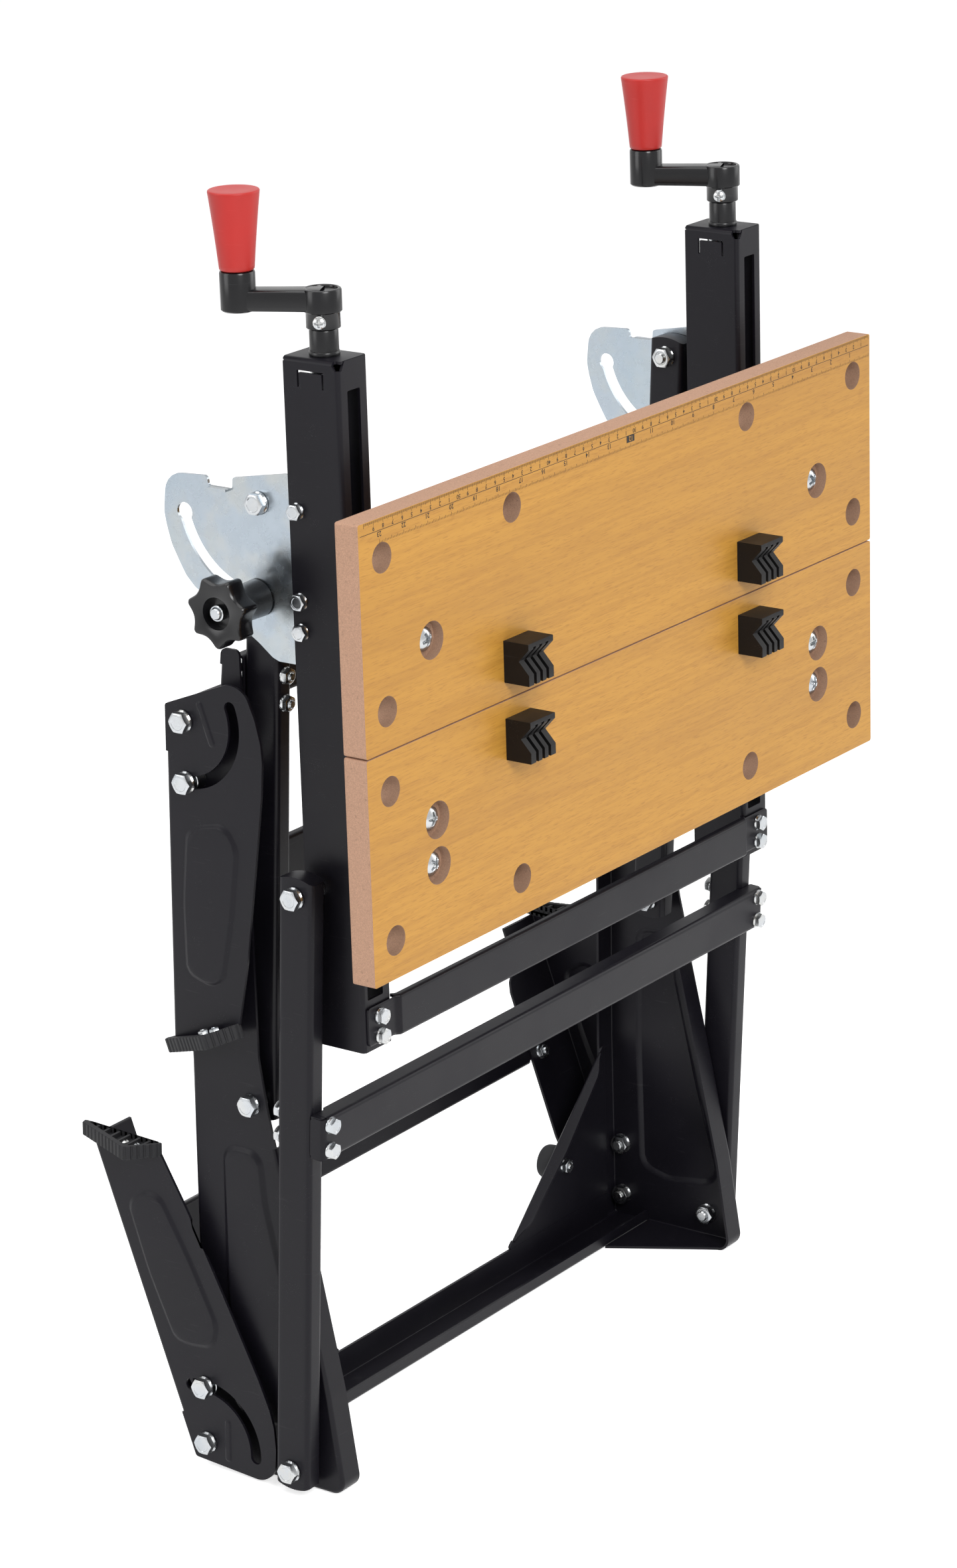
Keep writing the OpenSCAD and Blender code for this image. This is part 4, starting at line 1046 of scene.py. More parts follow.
@dataclass
class Piece:
    """What one finished piece needs: name, body, nodes replaced and finishes."""

    name: str
    body: str
    nodes: tuple
    looks: tuple
    wall: float = 0.0
    outward: tuple | None = None
    edge: float = 0.0
    turned: float = 40.0

    def make(self, surface: Surface) -> bpy.types.Object:
        """Make the object, ride it on its body and dress it.

        Args:
            surface: Its shape in millimetres.

        Returns:
            The object.
        """
        mesh = bpy.data.meshes.new(self.name)
        mesh.from_pydata((surface.points / 1000).tolist(), [], surface.faces)
        for look in self.looks:
            mesh.materials.append(MATERIALS[look])
        mesh.polygons.foreach_set("material_index", np.minimum(surface.finish, len(self.looks) - 1).astype(np.int32))
        work = bmesh.new()
        work.from_mesh(mesh)
        bmesh.ops.remove_doubles(work, verts=work.verts, dist=1e-5)
        bmesh.ops.dissolve_degenerate(work, edges=work.edges, dist=1e-6)
        bmesh.ops.recalc_face_normals(work, faces=work.faces)
        if self.outward is not None:
            way = Vector(self.outward)
            if sum(f.normal.dot(way) * f.calc_area() for f in work.faces) < 0:
                bmesh.ops.reverse_faces(work, faces=work.faces)
        work.to_mesh(mesh)
        work.free()
        mesh.polygons.foreach_set("use_smooth", np.ones(len(mesh.polygons), dtype=bool))
        if not self.wall:
            mesh.set_sharp_from_angle(angle=math.radians(self.turned))
        thing = bpy.data.objects.new(self.name, mesh)
        bpy.context.scene.collection.objects.link(thing)
        if self.wall:
            solid = thing.modifiers.new("wall", "SOLIDIFY")
            solid.thickness, solid.offset, solid.use_even_offset = self.wall / 1000, -1.0, False
            solid.use_quality_normals = True
        if self.edge:
            bevel = thing.modifiers.new("edge", "BEVEL")
            bevel.width, bevel.segments, bevel.limit_method = self.edge / 1000, 2, "ANGLE"
            bevel.angle_limit, bevel.harden_normals = math.radians(42), True
            bevel.use_clamp_overlap = True
        if self.edge or self.wall:
            even = thing.modifiers.new("shading", "WEIGHTED_NORMAL")
            even.keep_sharp, even.weight = True, 60
        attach(thing, self.body)
        if self.nodes:
            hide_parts(*self.nodes)
        log.info("piece %s: %d faces on %s", self.name, len(mesh.polygons), self.body)
        return thing


def from_node(node: str, body: str, look: Look, edge: float = 0.4) -> bpy.types.Object:
    """Make a merged copy of a CAD node with softened edges that replaces it.

    Args:
        node: The node.
        body: Its body.
        look: Its finish.
        edge: Width of the softened edges in millimetres.

    Returns:
        The new object.
    """
    source = bpy.data.objects[node].data
    work = bmesh.new()
    work.from_mesh(source)
    bmesh.ops.remove_doubles(work, verts=work.verts, dist=1e-5)
    bmesh.ops.dissolve_limit(work, angle_limit=math.radians(0.5), verts=work.verts, edges=work.edges)
    work.verts.ensure_lookup_table()
    points = np.array([v.co[:] for v in work.verts]) * 1000
    faces = [tuple(v.index for v in f.verts) for f in work.faces]
    work.free()
    return Piece(node + "_moulded", body, (node,), (look,), edge=edge).make(Surface(points, faces))


# Sizes shared by the sub-assemblies


@dataclass(frozen=True)
class Plan:
    """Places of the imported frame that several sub-assemblies share."""

    sheet: float = 2.0
    play: float = 0.3
    panel_out: float = 252.0
    panel_in: float = 250.0
    base_front: float = -100.5
    base_d: float = 118.0
    base_h: float = 596.0
    middle_pivot: tuple = (-35.482, 275.948)
    foot_pivot: tuple = (-70.528, 20.026)
    upper_leg_pivot: tuple = (-3.504, 544.982)
    lower_leg_pivot: tuple = (7.47, 19.012)
    table_pivot: tuple = (-60.482, 695.948)
    link_top_pivot: tuple = (-95.528, 440.026)
    guide: float = 42.3
    tilt: float = 3.4064
    arm_l: float = 420.743
    arm_w: float = 28.0
    post_in: float = 227.5
    post_out: float = 242.5
    plate_in: float = 243.0
    plate_out: float = 245.0
    beam_in: float = 216.0
    beam_out: float = 247.0
    beam_mid: float = 231.5
    beam_front: float = -130.482
    beam_rear: float = -86.482
    beam_top: float = 795.948
    beam_bottom: float = 329.948
    link_in: float = 255.0
    link_out: float = 270.0
    link_mid: float = 262.5
    leg_in: float = 262.0
    leg_out: float = 264.0
    dog_x: float = 140.2
    dog_upper_z: float = 584.448
    dog_lower_z: float = 531.448
    board_front: float = -185.482
    board_back: float = -167.482
    screw_y: float = -108.482
    quadrant_r: float = 64.0
    hub_bottom: float = 824.048
    grip_bottom: float = 850.248

    def on_arm(self, pivot: tuple) -> np.ndarray:
        """Return the frame that stands on a pivot and leans with the arms."""
        return shift(y=pivot[0], z=pivot[1]) @ turn("X", self.tilt)

    def panel_points(self, shares: list) -> list:
        """Return side-panel points from shares of the depth and the height."""
        return [(self.base_front + self.base_d * a, self.base_h * b) for a, b in shares]


PLAN = Plan()


def from_yz(side: int, face: float) -> np.ndarray:
    """Return the matrix from (Y, Z, depth) to the model: depth runs inward from X = face.

    Args:
        side: 1 for the right, -1 for the left.
        face: The outer face's X.

    Returns:
        The matrix.
    """
    matrix = np.zeros((4, 4))
    matrix[0, 2], matrix[0, 3] = -side, side * face
    matrix[1, 0] = matrix[2, 1] = matrix[3, 3] = 1.0
    return matrix


def from_xz(face: float, way: float = 1.0) -> np.ndarray:
    """Return the matrix from (X, Z, depth) to the model: depth runs along Y from a face.

    Args:
        face: The face's Y.
        way: 1 where depth runs rearward, -1 where it runs forward.

    Returns:
        The matrix.
    """
    matrix = np.zeros((4, 4))
    matrix[0, 0] = matrix[2, 1] = matrix[3, 3] = 1.0
    matrix[1, 2], matrix[1, 3] = way, face
    return matrix


def bolt_x(side: int, thread: float, seat: float, nut_seat: float, place: tuple) -> Surface:
    """Make a bolt along X whose head is outside at the seat and whose nut is inside.

    Args:
        side: 1 for the right, -1 for the left.
        thread: Thread size.
        seat: The head's seat in X.
        nut_seat: The nut's seat.
        place: Its place in (Y, Z).

    Returns:
        The bolt with its nut.
    """
    return fastener(thread, seat - nut_seat).moved(sided(side) @ shift(seat, *place) @ turn("Y", 90))


def bolt_y(thread: float, seat: float, nut_seat: float, x: float, z: float, frame_at: np.ndarray | None = None,
           ) -> Surface:
    """Make a bolt along Y whose head is in front at the seat and whose nut is behind.

    Args:
        thread: Thread size.
        seat: The head's seat in Y.
        nut_seat: The nut's seat.
        x: Its X.
        z: Its Z.
        frame_at: The frame it is placed in, if not the model's.

    Returns:
        The bolt with its nut.
    """
    local = shift(x, seat, z) @ turn("X", 90)
    return fastener(thread, nut_seat - seat).moved(local if frame_at is None else frame_at @ local)


def sleeve_x(side: int, thread: float, low: float, high: float, place: tuple) -> Surface:
    """Make a spacer ring along X.

    Args:
        side: 1 for the right, -1 for the left.
        thread: Thread it goes over.
        low: Where it starts in X.
        high: Where it ends.
        place: Its place in (Y, Z).

    Returns:
        The ring.
    """
    return sleeve(thread, low, high).moved(sided(side) @ shift(0, *place) @ turn("Y", 90))


def steel(name: str, body: str, nodes: tuple, outward: tuple, edge: float = 0.3) -> Piece:
    """Return a piece of coated sheet whose outer face looks a given way.

    Args:
        name: Name of the piece.
        body: Body it moves with.
        nodes: Nodes it stands for.
        outward: Way its outer face looks.
        edge: Width of the rounded edges.

    Returns:
        The piece.
    """
    return Piece(name, body, nodes, (Look.STEEL,), wall=PLAN.sheet, outward=outward, edge=edge)


def zinc(name: str, body: str, node: str, *parts: Surface) -> None:
    """Make one piece of plated fasteners from its parts.

    Args:
        name: Name of the piece.
        body: Body it moves with.
        node: Node it stands for.
        *parts: Bolts, nuts and sleeves.
    """
    Piece(name, body, (node,), (Look.ZINC,)).make(joined(*parts))


SIDES = ((-1, "left"), (1, "right"))
M6, M8 = 6, 8


# Sub-assemblies


@dataclass
class Base:
    """Side panels, bottom channel, gussets, bumpers and the pivots that the panels carry."""

    flange: float = 19.0
    corner: float = 10.0
    meets: float = -15.7
    channel_h: float = 23.0
    channel_d: float = 31.0
    lip: float = 10.0
    rear: float = 15.5
    gusset_low: float = 104.0
    gusset_out: float = 237.0
    gusset_top: float = 147.0
    bumper_x: float = 180.0
    bumper_z: float = 66.0

    def outline(self) -> np.ndarray:
        """Return the side panel's outline in (Y, Z)."""
        p = PLAN.panel_points
        low = PLAN.base_front
        front = p([[0.076, 0.121], [0.267, 0.304], [0.436, 0.46], [0.483, 0.52]])
        top = p([[0.483, 1], [0.61, 1], [0.636, 0.956], [0.89, 0.933]])
        rear = p([[0.935, 0.7], [0.975, 0.57], [0.975, 0.5], [1, 0.25]])
        corners = [(PLAN.base_front + PLAN.base_d, 0.0), (self.meets, 0.0), (low - 1.5, 0.0), *front, *top, *rear]
        radii = [4, 0, self.corner, 120, 160, 60, 40, 4, 5, 2, 3, 90, 60, 60, 90]
        return dense(rounded(corners, radii, 10), 9.0)

    def widths(self, loop: np.ndarray) -> np.ndarray:
        """Return the flange's width at each point of the panel's outline.

        Along the floor it widens in a straight line to the channel; it runs up the front
        to the arms, and over the low step of the top and down the rear; its ends fall to
        nothing as the smooth step of the way left.

        Args:
            loop: The outline's points.

        Returns:
            One width for each point.
        """
        y, z = loop[:, 0], loop[:, 1]
        middle = PLAN.base_front + PLAN.base_d * 0.62
        rise_front = smooth((PLAN.base_h * 0.425 - z) / 14)
        rise_rear = smooth((PLAN.base_h * 0.985 - z) / 8)
        width = np.where(y < middle, rise_front, rise_rear) * self.flange
        width = np.where(z < 0.5, np.interp(y, [-90.0, self.meets], [19.0, 62.0]), width)
        floor = (z < 0.5) & (y > self.meets + 0.01) & (y < PLAN.base_front + PLAN.base_d - 3)
        return np.where(floor | (width < 0.6), 0.0, width)

    def fields(self) -> list:
        """Return the panel's pressed fields: one broad field round the pivot."""
        broad = rounded([(-8, 45), (-34, 38), (-84, 45), (-64, 123), (-46, 205), (-43, 243), (-9, 243), (-7, 140)],
                        [14, 30, 14, 200, 60, 12, 12, 200], 8)
        return [Emboss(dense(broad, 7.0), 4.0, 2.2)]

    def panel(self, side: int, label: str) -> None:
        """Build one side panel.

        Args:
            side: 1 for the right, -1 for the left.
            label: The side's name.
        """
        loop = self.outline()
        places = [PLAN.upper_leg_pivot, PLAN.lower_leg_pivot]
        holes = [ring(*place, 8.2, 24) for place in places]
        shape = pressing(loop, self.widths(loop), holes, self.fields())
        steel("side_panel_" + label, "base", ("base_panel_" + label,), (side, 0, 0), 0.35).make(
            shape.moved(from_yz(side, PLAN.panel_out)))

    def channel(self) -> None:
        """Build the channel along the floor."""
        r, half = 3.0, PLAN.panel_in - 0.1
        section = Fold((-self.channel_d / 2, self.lip), -90,
                       [("run", self.lip - r), ("bend", 90), ("run", self.channel_d - 2 * r), ("bend", 90),
                        ("run", self.channel_h - r)], r)
        full = section.length()
        flat = full - self.channel_h + r - 2
        end = half - 14
        loop = rounded([(0, -half), (flat, -half), (flat, -end), (full, -end), (full, end), (flat, end),
                        (flat, half), (0, half)], [2, 0, 0, 4, 4, 0, 0, 2], 4)
        steel("floor_channel", "base", ("bottom_channel",), (0, 0, -1), 0.35).make(folded(section, loop, []))

    def gusset(self, side: int, label: str) -> None:
        """Build a gusset: its sloping edge turns forward, widest in the middle.

        Args:
            side: 1 for the right, -1 for the left.
            label: The side's name.
        """
        loop = dense(rounded([(self.gusset_low, self.channel_h), (self.gusset_out, self.channel_h),
                              (self.gusset_out, self.gusset_top)], [1.5, 1.5, 1.5], 3), 5.0)
        a, b = np.array([self.gusset_low, self.channel_h]), np.array([self.gusset_out, self.gusset_top])
        along = (loop - a) @ (b - a) / np.sum((b - a) ** 2)
        off = abs((loop - a) @ np.array([-(b - a)[1], (b - a)[0]])) / np.linalg.norm(b - a)
        width = 12 * np.interp(along, [0.02, 0.14, 0.5, 0.86, 0.98], [0, 0.78, 1, 0.78, 0])
        width = np.where((off < 0.5) & (width > 0.8), width, 0.0)
        shape = pressing(loop, width, [ring(self.bumper_x, self.bumper_z, 6.4, 20)], bend=2.6)
        steel("corner_gusset_" + label, "base", ("gusset_" + label,), (0, 1, 0)).make(
            shape.moved(sided(side) @ from_xz(self.rear, -1.0)))

    def bumper(self, side: int, label: str) -> None:
        """Build a rubber bumper with a rounded rim and a sunk seat.

        Args:
            side: 1 for the right, -1 for the left.
            label: The side's name.
        """
        place = sided(side) @ shift(self.bumper_x, self.rear, self.bumper_z) @ turn("X", -90)
        r, length = 14.0, 16.0
        shape = profile((3.1, 0.05), (r - 0.6, 0.05), (r, 0.7), (r - 0.2, 5.0), (r - 0.9, length - 2.2),
                        (r - 1.6, length - 0.7), (r - 2.8, length), (7.6, length), (6.9, length - 0.6),
                        (6.85, length / 2), (3.1, length / 2), (3.1, 0.05))
        Piece("rubber_bumper_" + label, "base", ("bumper_" + label,), (Look.RUBBER,), turned=50).make(
            shape.moved(place))

    def fasteners(self) -> None:
        """Build every bolt, nut and sleeve that the panels and gussets carry."""
        seat = self.rear + 8.0
        bumper = [fastener(M6, 8.0 + PLAN.sheet).moved(sided(s) @ shift(self.bumper_x, seat, self.bumper_z)
                                                      @ turn("X", -90)) for s, _ in SIDES]
        zinc("bumper_bolts", "base", "bumper_fasteners", *bumper)
        middle = [bolt_x(s, M8, PLAN.panel_out, PLAN.post_in - PLAN.play, PLAN.middle_pivot) for s, _ in SIDES]
        middle += [sleeve_x(s, M8, PLAN.panel_in - 7.2, PLAN.panel_in, PLAN.middle_pivot) for s, _ in SIDES]
        zinc("middle_pivot_bolts", "base", "middle_pivot_fasteners", *middle)
        foot = [bolt_x(s, M8, PLAN.link_out + PLAN.play, PLAN.panel_in, PLAN.foot_pivot) for s, _ in SIDES]
        foot += [sleeve_x(s, M8, PLAN.panel_out, PLAN.panel_out + 2.7, PLAN.foot_pivot) for s, _ in SIDES]
        zinc("foot_pivot_bolts", "base", "foot_pivot_fasteners", *foot)
        (uy, uz), (ly, lz) = PLAN.upper_leg_pivot, PLAN.lower_leg_pivot
        places = [(uy, uz), (uy, uz - PLAN.guide), (ly, lz), (ly, lz + PLAN.guide)]
        legs = [bolt_x(s, M8, PLAN.leg_out + PLAN.play, PLAN.panel_in, p) for s, _ in SIDES for p in places]
        legs += [sleeve_x(s, M8, PLAN.panel_out, PLAN.panel_out + 9.7, p) for s, _ in SIDES for p in places]
        zinc("leg_bolts", "base", "leg_fasteners", *legs)

    def build(self) -> None:
        """Build the whole base."""
        for side, label in SIDES:
            self.panel(side, label)
            self.gusset(side, label)
            self.bumper(side, label)
        self.channel()
        self.fasteners()


@dataclass
class Linkage:
    """Posts, links, their crossbars, the table pivots and the star knobs."""

    post_bar_low: float = 276.0
    post_bar_h: float = 37.0
    link_bar_low: float = 238.0
    link_bar_h: float = 31.0
    link_bar_d: float = 11.4
    link_lip: float = 13.0
    ear_low: float = 239.0
    ear_h: float = 29.0
    post_bolt_zs: tuple = (285.0, 304.0)
    link_bolt_zs: tuple = (245.0, 263.0)
    knob_point: tuple = (-56.679, 632.061)
    knob_in: float = 245.5
    star_in: float = 274.7
    knob_out: float = 289.7

    def arm(self, name: str, body: str, node: str, side: int, inner: float, outer: float, pivot: tuple) -> None:
        """Build one flat tube from pivot to pivot.

        Args:
            name: Name of the piece.
            body: Body it moves with.
            node: Node it stands for.
            side: 1 for the right, -1 for the left.
            inner: Inner face's X.
            outer: Outer face's X.
            pivot: The lower pivot in (Y, Z).
        """
        shape = tube(inner, outer, PLAN.arm_w, PLAN.arm_l).moved(sided(side) @ PLAN.on_arm(pivot))
        Piece(name, body, (node,), (Look.STEEL,), edge=0.7).make(shape)

    def post_bar(self) -> None:
        """Build the channel bolted behind the posts."""
        r, half, rear = 3.0, PLAN.post_out, PLAN.arm_w / 2
        high = self.post_bar_low + self.post_bar_h
        section = channel_fold(rear, 8.0, high, self.post_bar_h, r)
        full = section.length()
        loop = rounded([(0, -half), (full, -half), (full, half), (0, half)], 1.5, 3)
        place = PLAN.on_arm(PLAN.middle_pivot)
        shape = folded(section, loop, []).moved(place)
        steel("post_brace", "posts", ("post_crossbar",), (0, -1, 0)).make(shape)
        mid = (PLAN.post_in + PLAN.post_out) / 2
        bolts = [fastener(M6, PLAN.arm_w + PLAN.sheet).moved(
            place @ shift(x, rear + PLAN.sheet, z) @ turn("X", -90)) for x in (-mid, mid) for z in self.post_bolt_zs]
        zinc("post_brace_bolts", "posts", "post_crossbar_fasteners", *bolts)

    def link_bar(self) -> None:
        """Build the channel in front of the links: its ends run across them and turn back."""
        r, turned, inner = 3.0, 3.5, PLAN.link_in - 0.4
        front = -PLAN.arm_w / 2 - self.link_bar_d
        low, high = self.link_bar_low, self.link_bar_low + self.link_bar_h
        section = channel_fold(front, self.link_lip, high, self.link_bar_h, r)
        face = self.link_lip - r + r * math.pi / 2
        across = Fold((-PLAN.link_out, self.link_bar_d), -90,
                      [("run", self.link_bar_d - turned), ("bend", 90), ("run", 2 * (PLAN.link_out - turned)),
                       ("bend", 90), ("run", self.link_bar_d - turned)], turned)
        middle, full, end = across.length() / 2, section.length(), PLAN.link_out - turned - 0.5
        zero = face + high - r
        ear_top, ear_foot = zero - self.ear_low - self.ear_h, zero - self.ear_low
        foot = face + self.link_bar_h - 2 * r
        half = [(0, inner), (2.2, inner), (2.2, end - 0.6), (face + 0.2, end - 0.6), (face + 0.2, end),
                (ear_top, end), (ear_top, middle), (ear_foot, middle), (ear_foot, end), (foot - 0.2, end),
                (foot - 0.2, end - 0.6), (full - 2.2, end - 0.6), (full - 2.2, inner), (full, inner)]
        both = [(u, middle + w) for u, w in half] + [(u, middle - w) for u, w in half[::-1]]
        radii = [2, 0.8, 0, 0, 0, 0, 3, 3, 0, 0, 0, 0, 0.8, 2]
        loop = rounded(both, radii + radii[::-1], 4)
        shape = folded(section, loop, [], across, ears=(end - 0.3, middle, face + 1.0))
        place = PLAN.on_arm(PLAN.foot_pivot)
        shape = shape.moved(place)
        steel("link_brace", "links", ("link_crossbar",), (0, -1, 0)).make(shape)
        back, out = front + self.link_bar_d, PLAN.link_out - 0.3
        plan = rounded([(out - 5.0, front + 2.0), (out, front + 2.0), (out, back), (out - 5.0, back)],
                       [0, 2.5, 1, 0], 4)
        corner = joined(slab(plan, [], high - 2.0, high - 0.15), slab(plan, [], low + 0.15, low + 2.0))
        Piece("link_brace_corners", "links", ("link_crossbar",), (Look.STEEL,)).make(
            joined(*(corner.moved(place @ sided(side)) for side, _ in SIDES)))
        bolts = [bolt_y(M6, front, PLAN.arm_w / 2, x, z, place) for x in (-PLAN.link_mid, PLAN.link_mid)
                 for z in self.link_bolt_zs]
        zinc("link_brace_bolts", "links", "link_crossbar_fasteners", *bolts)

    def knob(self, side: int, label: str) -> None:
        """Build a star knob.

        Its radius rises from the middle of each hollow as the power 2.1 of the share of
        the way to the next of the seven lobes, and stays level on the lobe's tip.

        Args:
            side: 1 for the right, -1 for the left.
            label: The side's name.
        """
        steps, lobes, r = 168, 7, 24.0
        share = abs(np.mod(np.arange(steps) * lobes * 2 / steps, 2) - 1)
        wave = np.clip(share / 0.88, 0, 1) ** 2.1
        star = r - 4.4 * (1 - wave)
        inset = star - 1.4
        length, skirt = self.knob_out - self.knob_in, self.star_in - self.knob_in
        rows = [(4.1, 0.0), (11.8, 0.0), (12.6, 0.8), (12.2, skirt * 0.5), (12.6, skirt - 1.5), (13.4, skirt - 0.3),
                (star - 2.0, skirt), (star - 0.5, skirt + 0.8), (star, skirt + 2.2), (star, length - 2.6),
                (star - 0.4, length - 1.0), (inset, length), (11.8, length), (10.9, length - 0.5),
                (10.4, length - 7.0), (4.1, length - 7.0), (4.1, 0.0)]
        shape = profile(*rows, steps=steps).moved(sided(side) @ shift(self.knob_in, *self.knob_point)
                                                  @ turn("Y", 90))
        Piece("star_knob_" + label, "knob_" + label, ("knob_" + label,), (Look.GLOSS,), turned=35).make(shape)

    def studs(self) -> None:
        """Build the knobs' studs with the bright insert round each one's end."""
        seat = self.knob_out - 7.0 + 0.3
        parts = []
        for side, _ in SIDES:
            place = sided(side) @ shift(0, *self.knob_point) @ turn("Y", 90)
            z = np.arange(PLAN.post_in, seat + 7.6, 0.35)
            r = 3.84 + 0.16 * np.cos(2 * np.pi * z / 1.4)
            rows = [(0.0, z[0]), *zip(r.tolist(), z.tolist()), (3.3, z[-1] + 0.4), (0.0, z[-1] + 0.4)]
            parts += [profile(*rows, steps=20).moved(place),
                      rod(11, PLAN.post_in - 2, PLAN.post_in, 0.5).moved(place),
                      profile((4.1, seat - 0.2), (5.4, seat - 0.2), (5.4, seat + 5.6), (5.0, seat + 6.0),
                              (4.4, seat + 6.0), (4.1, seat + 5.6), (4.1, seat - 0.2)).moved(place)]
        zinc("knob_stud_set", "posts", "knob_studs", *parts)

    def build(self) -> None:
        """Build the whole linkage."""
        for side, label in SIDES:
            self.arm("post_tube_" + label, "posts", "post_" + label, side, PLAN.post_in, PLAN.post_out,
                     PLAN.middle_pivot)
            self.arm("link_tube_" + label, "links", "link_" + label, side, PLAN.link_in, PLAN.link_out,
                     PLAN.foot_pivot)
            self.knob(side, label)
        self.post_bar()
        self.link_bar()
        self.studs()
        pivots = [bolt_x(s, M8, PLAN.plate_out + PLAN.play, PLAN.post_in, PLAN.table_pivot) for s, _ in SIDES]
        zinc("table_pivot_bolts", "posts", "table_pivot_fasteners", *pivots)


@dataclass
class Table:
    """Beams, quadrant plates, beam crossbar, bearings and the fixed jaw's mounting."""

    slot_w: float = 13.0
    slot_low: float = 365.948
    slot_high: float = 775.948
    bar_low: float = 332.948
    bar_h: float = 29.0
    step: float = 3.0
    step_run: float = 4.0
    bolt_rises: tuple = (6.0, 20.0)
    bolt_shares: tuple = ((-0.508, -0.016), (-0.508, -0.953), (-0.508, -1.273))
    plate_bolts: list = field(default_factory=list)

    def beam(self, side: int, label: str) -> None:
        """Build a beam: a folded channel open to the rear, with a flap folded over its top.

        Args:
            side: 1 for the right, -1 for the left.
            label: The side's name.
        """
        r = 3.0
        x0, x1 = (PLAN.beam_in, PLAN.beam_out) if side > 0 else (-PLAN.beam_out, -PLAN.beam_in)
        wide, deep = x1 - x0, PLAN.beam_rear - PLAN.beam_front
        section = Fold((x0, PLAN.beam_rear), -90, [("run", deep - r), ("bend", 90), ("run", wide - 2 * r),
                                                   ("bend", 90), ("run", deep - r)], r)
        full, bend = section.length(), r * math.pi / 2
        start = deep - r + bend
        mid, half = start - r + wide / 2, self.slot_w / 2
        low, high = PLAN.beam_bottom, PLAN.beam_top
        slot = rounded([(mid + half, self.slot_low), (mid + half, self.slot_high), (mid - half, self.slot_high),
                        (mid - half, self.slot_low + 13.0), (mid - half - 3.5, self.slot_low + 13.0),
                        (mid - half - 3.5, self.slot_low)], 1, 3)
        a, b = PLAN.beam_rear + 97.5, PLAN.beam_rear + 118.5
        slit = rounded([(a, 777), (a, 788), (b, 788), (b, 777), (b - 1.3, 777), (b - 1.3, 786.6), (a + 1.3, 786.6),
                        (a + 1.3, 777)], 0.4, 2)
        top = high - 0.35
        flap = high - r
        past = start + wide - 2 * r
        loop = np.array([(0, low), (full, low), (full, top - PLAN.sheet), (past + bend, top - 2),
                         (past + bend / 2, top), (start + 4, top), (start + 1, flap - 3), (start - bend, flap - 3),
                         (start - bend - 2, flap), (0, flap)], dtype=float)
        shape = folded_beam(section, loop, [slot, slit])
        cap_fold = Fold((x0, flap), 90, [("bend", -90), ("run", wide - r - 0.4)], r)
        cap_len = cap_fold.length()
        bore = ring(cap_len - wide / 2 + 0.4, PLAN.screw_y, 12.6, 24)
        cap_loop = rounded([(0, PLAN.beam_front + 5), (0, PLAN.beam_rear), (cap_len, PLAN.beam_rear),
                            (cap_len, PLAN.beam_front + 0.6), (5.5, PLAN.beam_front + 0.6),
                            (5.5, PLAN.beam_front + 5)], [0, 2, 2, 2, 1, 1], 3)
        lid = folded(cap_fold, cap_loop, [bore])
        lid = Surface(lid.points[:, [1, 0, 2]], lid.faces)
        steel("table_beam_" + label, "table", ("beam_" + label,), (0, -1, 0)).make(shape)
        steel("beam_flap_" + label, "table", (), (0, 0, 1)).make(lid)

    def quadrant(self, side: int, label: str) -> None:
        """Build a quadrant plate with its arc slot and the bright tab turned in its notch.

        Args:
            side: 1 for the right, -1 for the left.
            label: The side's name.
        """
        shares = [(-0.62, 0.34), (-0.33, 0.34), (0.33, 0.22), (0.34, 0.10), (0.65, 0.10), (0.66, 0.2),
                  (1.2, 0.17), (1.25, -0.25), (1.22, -0.40), (1.17, -0.58),
                  (1.08, -0.75), (1.0, -0.89), (0.89, -1.0), (0.27, -1.36), (0.08, -1.48), (-0.09, -1.61),
                  (-0.17, -1.64), (-0.62, -1.64)]
        radii = [3, 8, 2, 1.5, 1.5, 3, 16, 30, 30, 30, 30, 14, 14, 20, 20, 8, 5, 3]
        r = PLAN.quadrant_r
        loop = rounded([(r * a, r * b) for a, b in shares], radii, 5)
        start = -90 + PLAN.tilt
        holes = [arc_slot(r, 9.0, start, start + 74, 12.6), ring(0, 0, 8.1)]
        holes += [ring(r * a, r * b, 6.1, 24) for a, b in self.bolt_shares]
        tab = rounded([(0.38 * r, 0.07 * r), (0.62 * r, 0.07 * r), (0.62 * r, 0.1 * r), (0.38 * r, 0.1 * r)], 0.6, 3)
        plate = joined(slab(loop, holes, 0.0, PLAN.sheet), slab(tab, [], -4.0, 0.4)).wearing(0)
        place = from_yz(side, PLAN.plate_out) @ shift(*PLAN.table_pivot)
        Piece("quadrant_plate_" + label, "table", ("quadrant_" + label,), (Look.PLATE,), edge=0.3).make(
            plate.moved(place))
        seats = [(PLAN.table_pivot[0] + r * a, PLAN.table_pivot[1] + r * b)
                 for a, b in self.bolt_shares]
        self.plate_bolts += [bolt_x(side, M6, PLAN.beam_out, PLAN.plate_in, seat) for seat in seats]

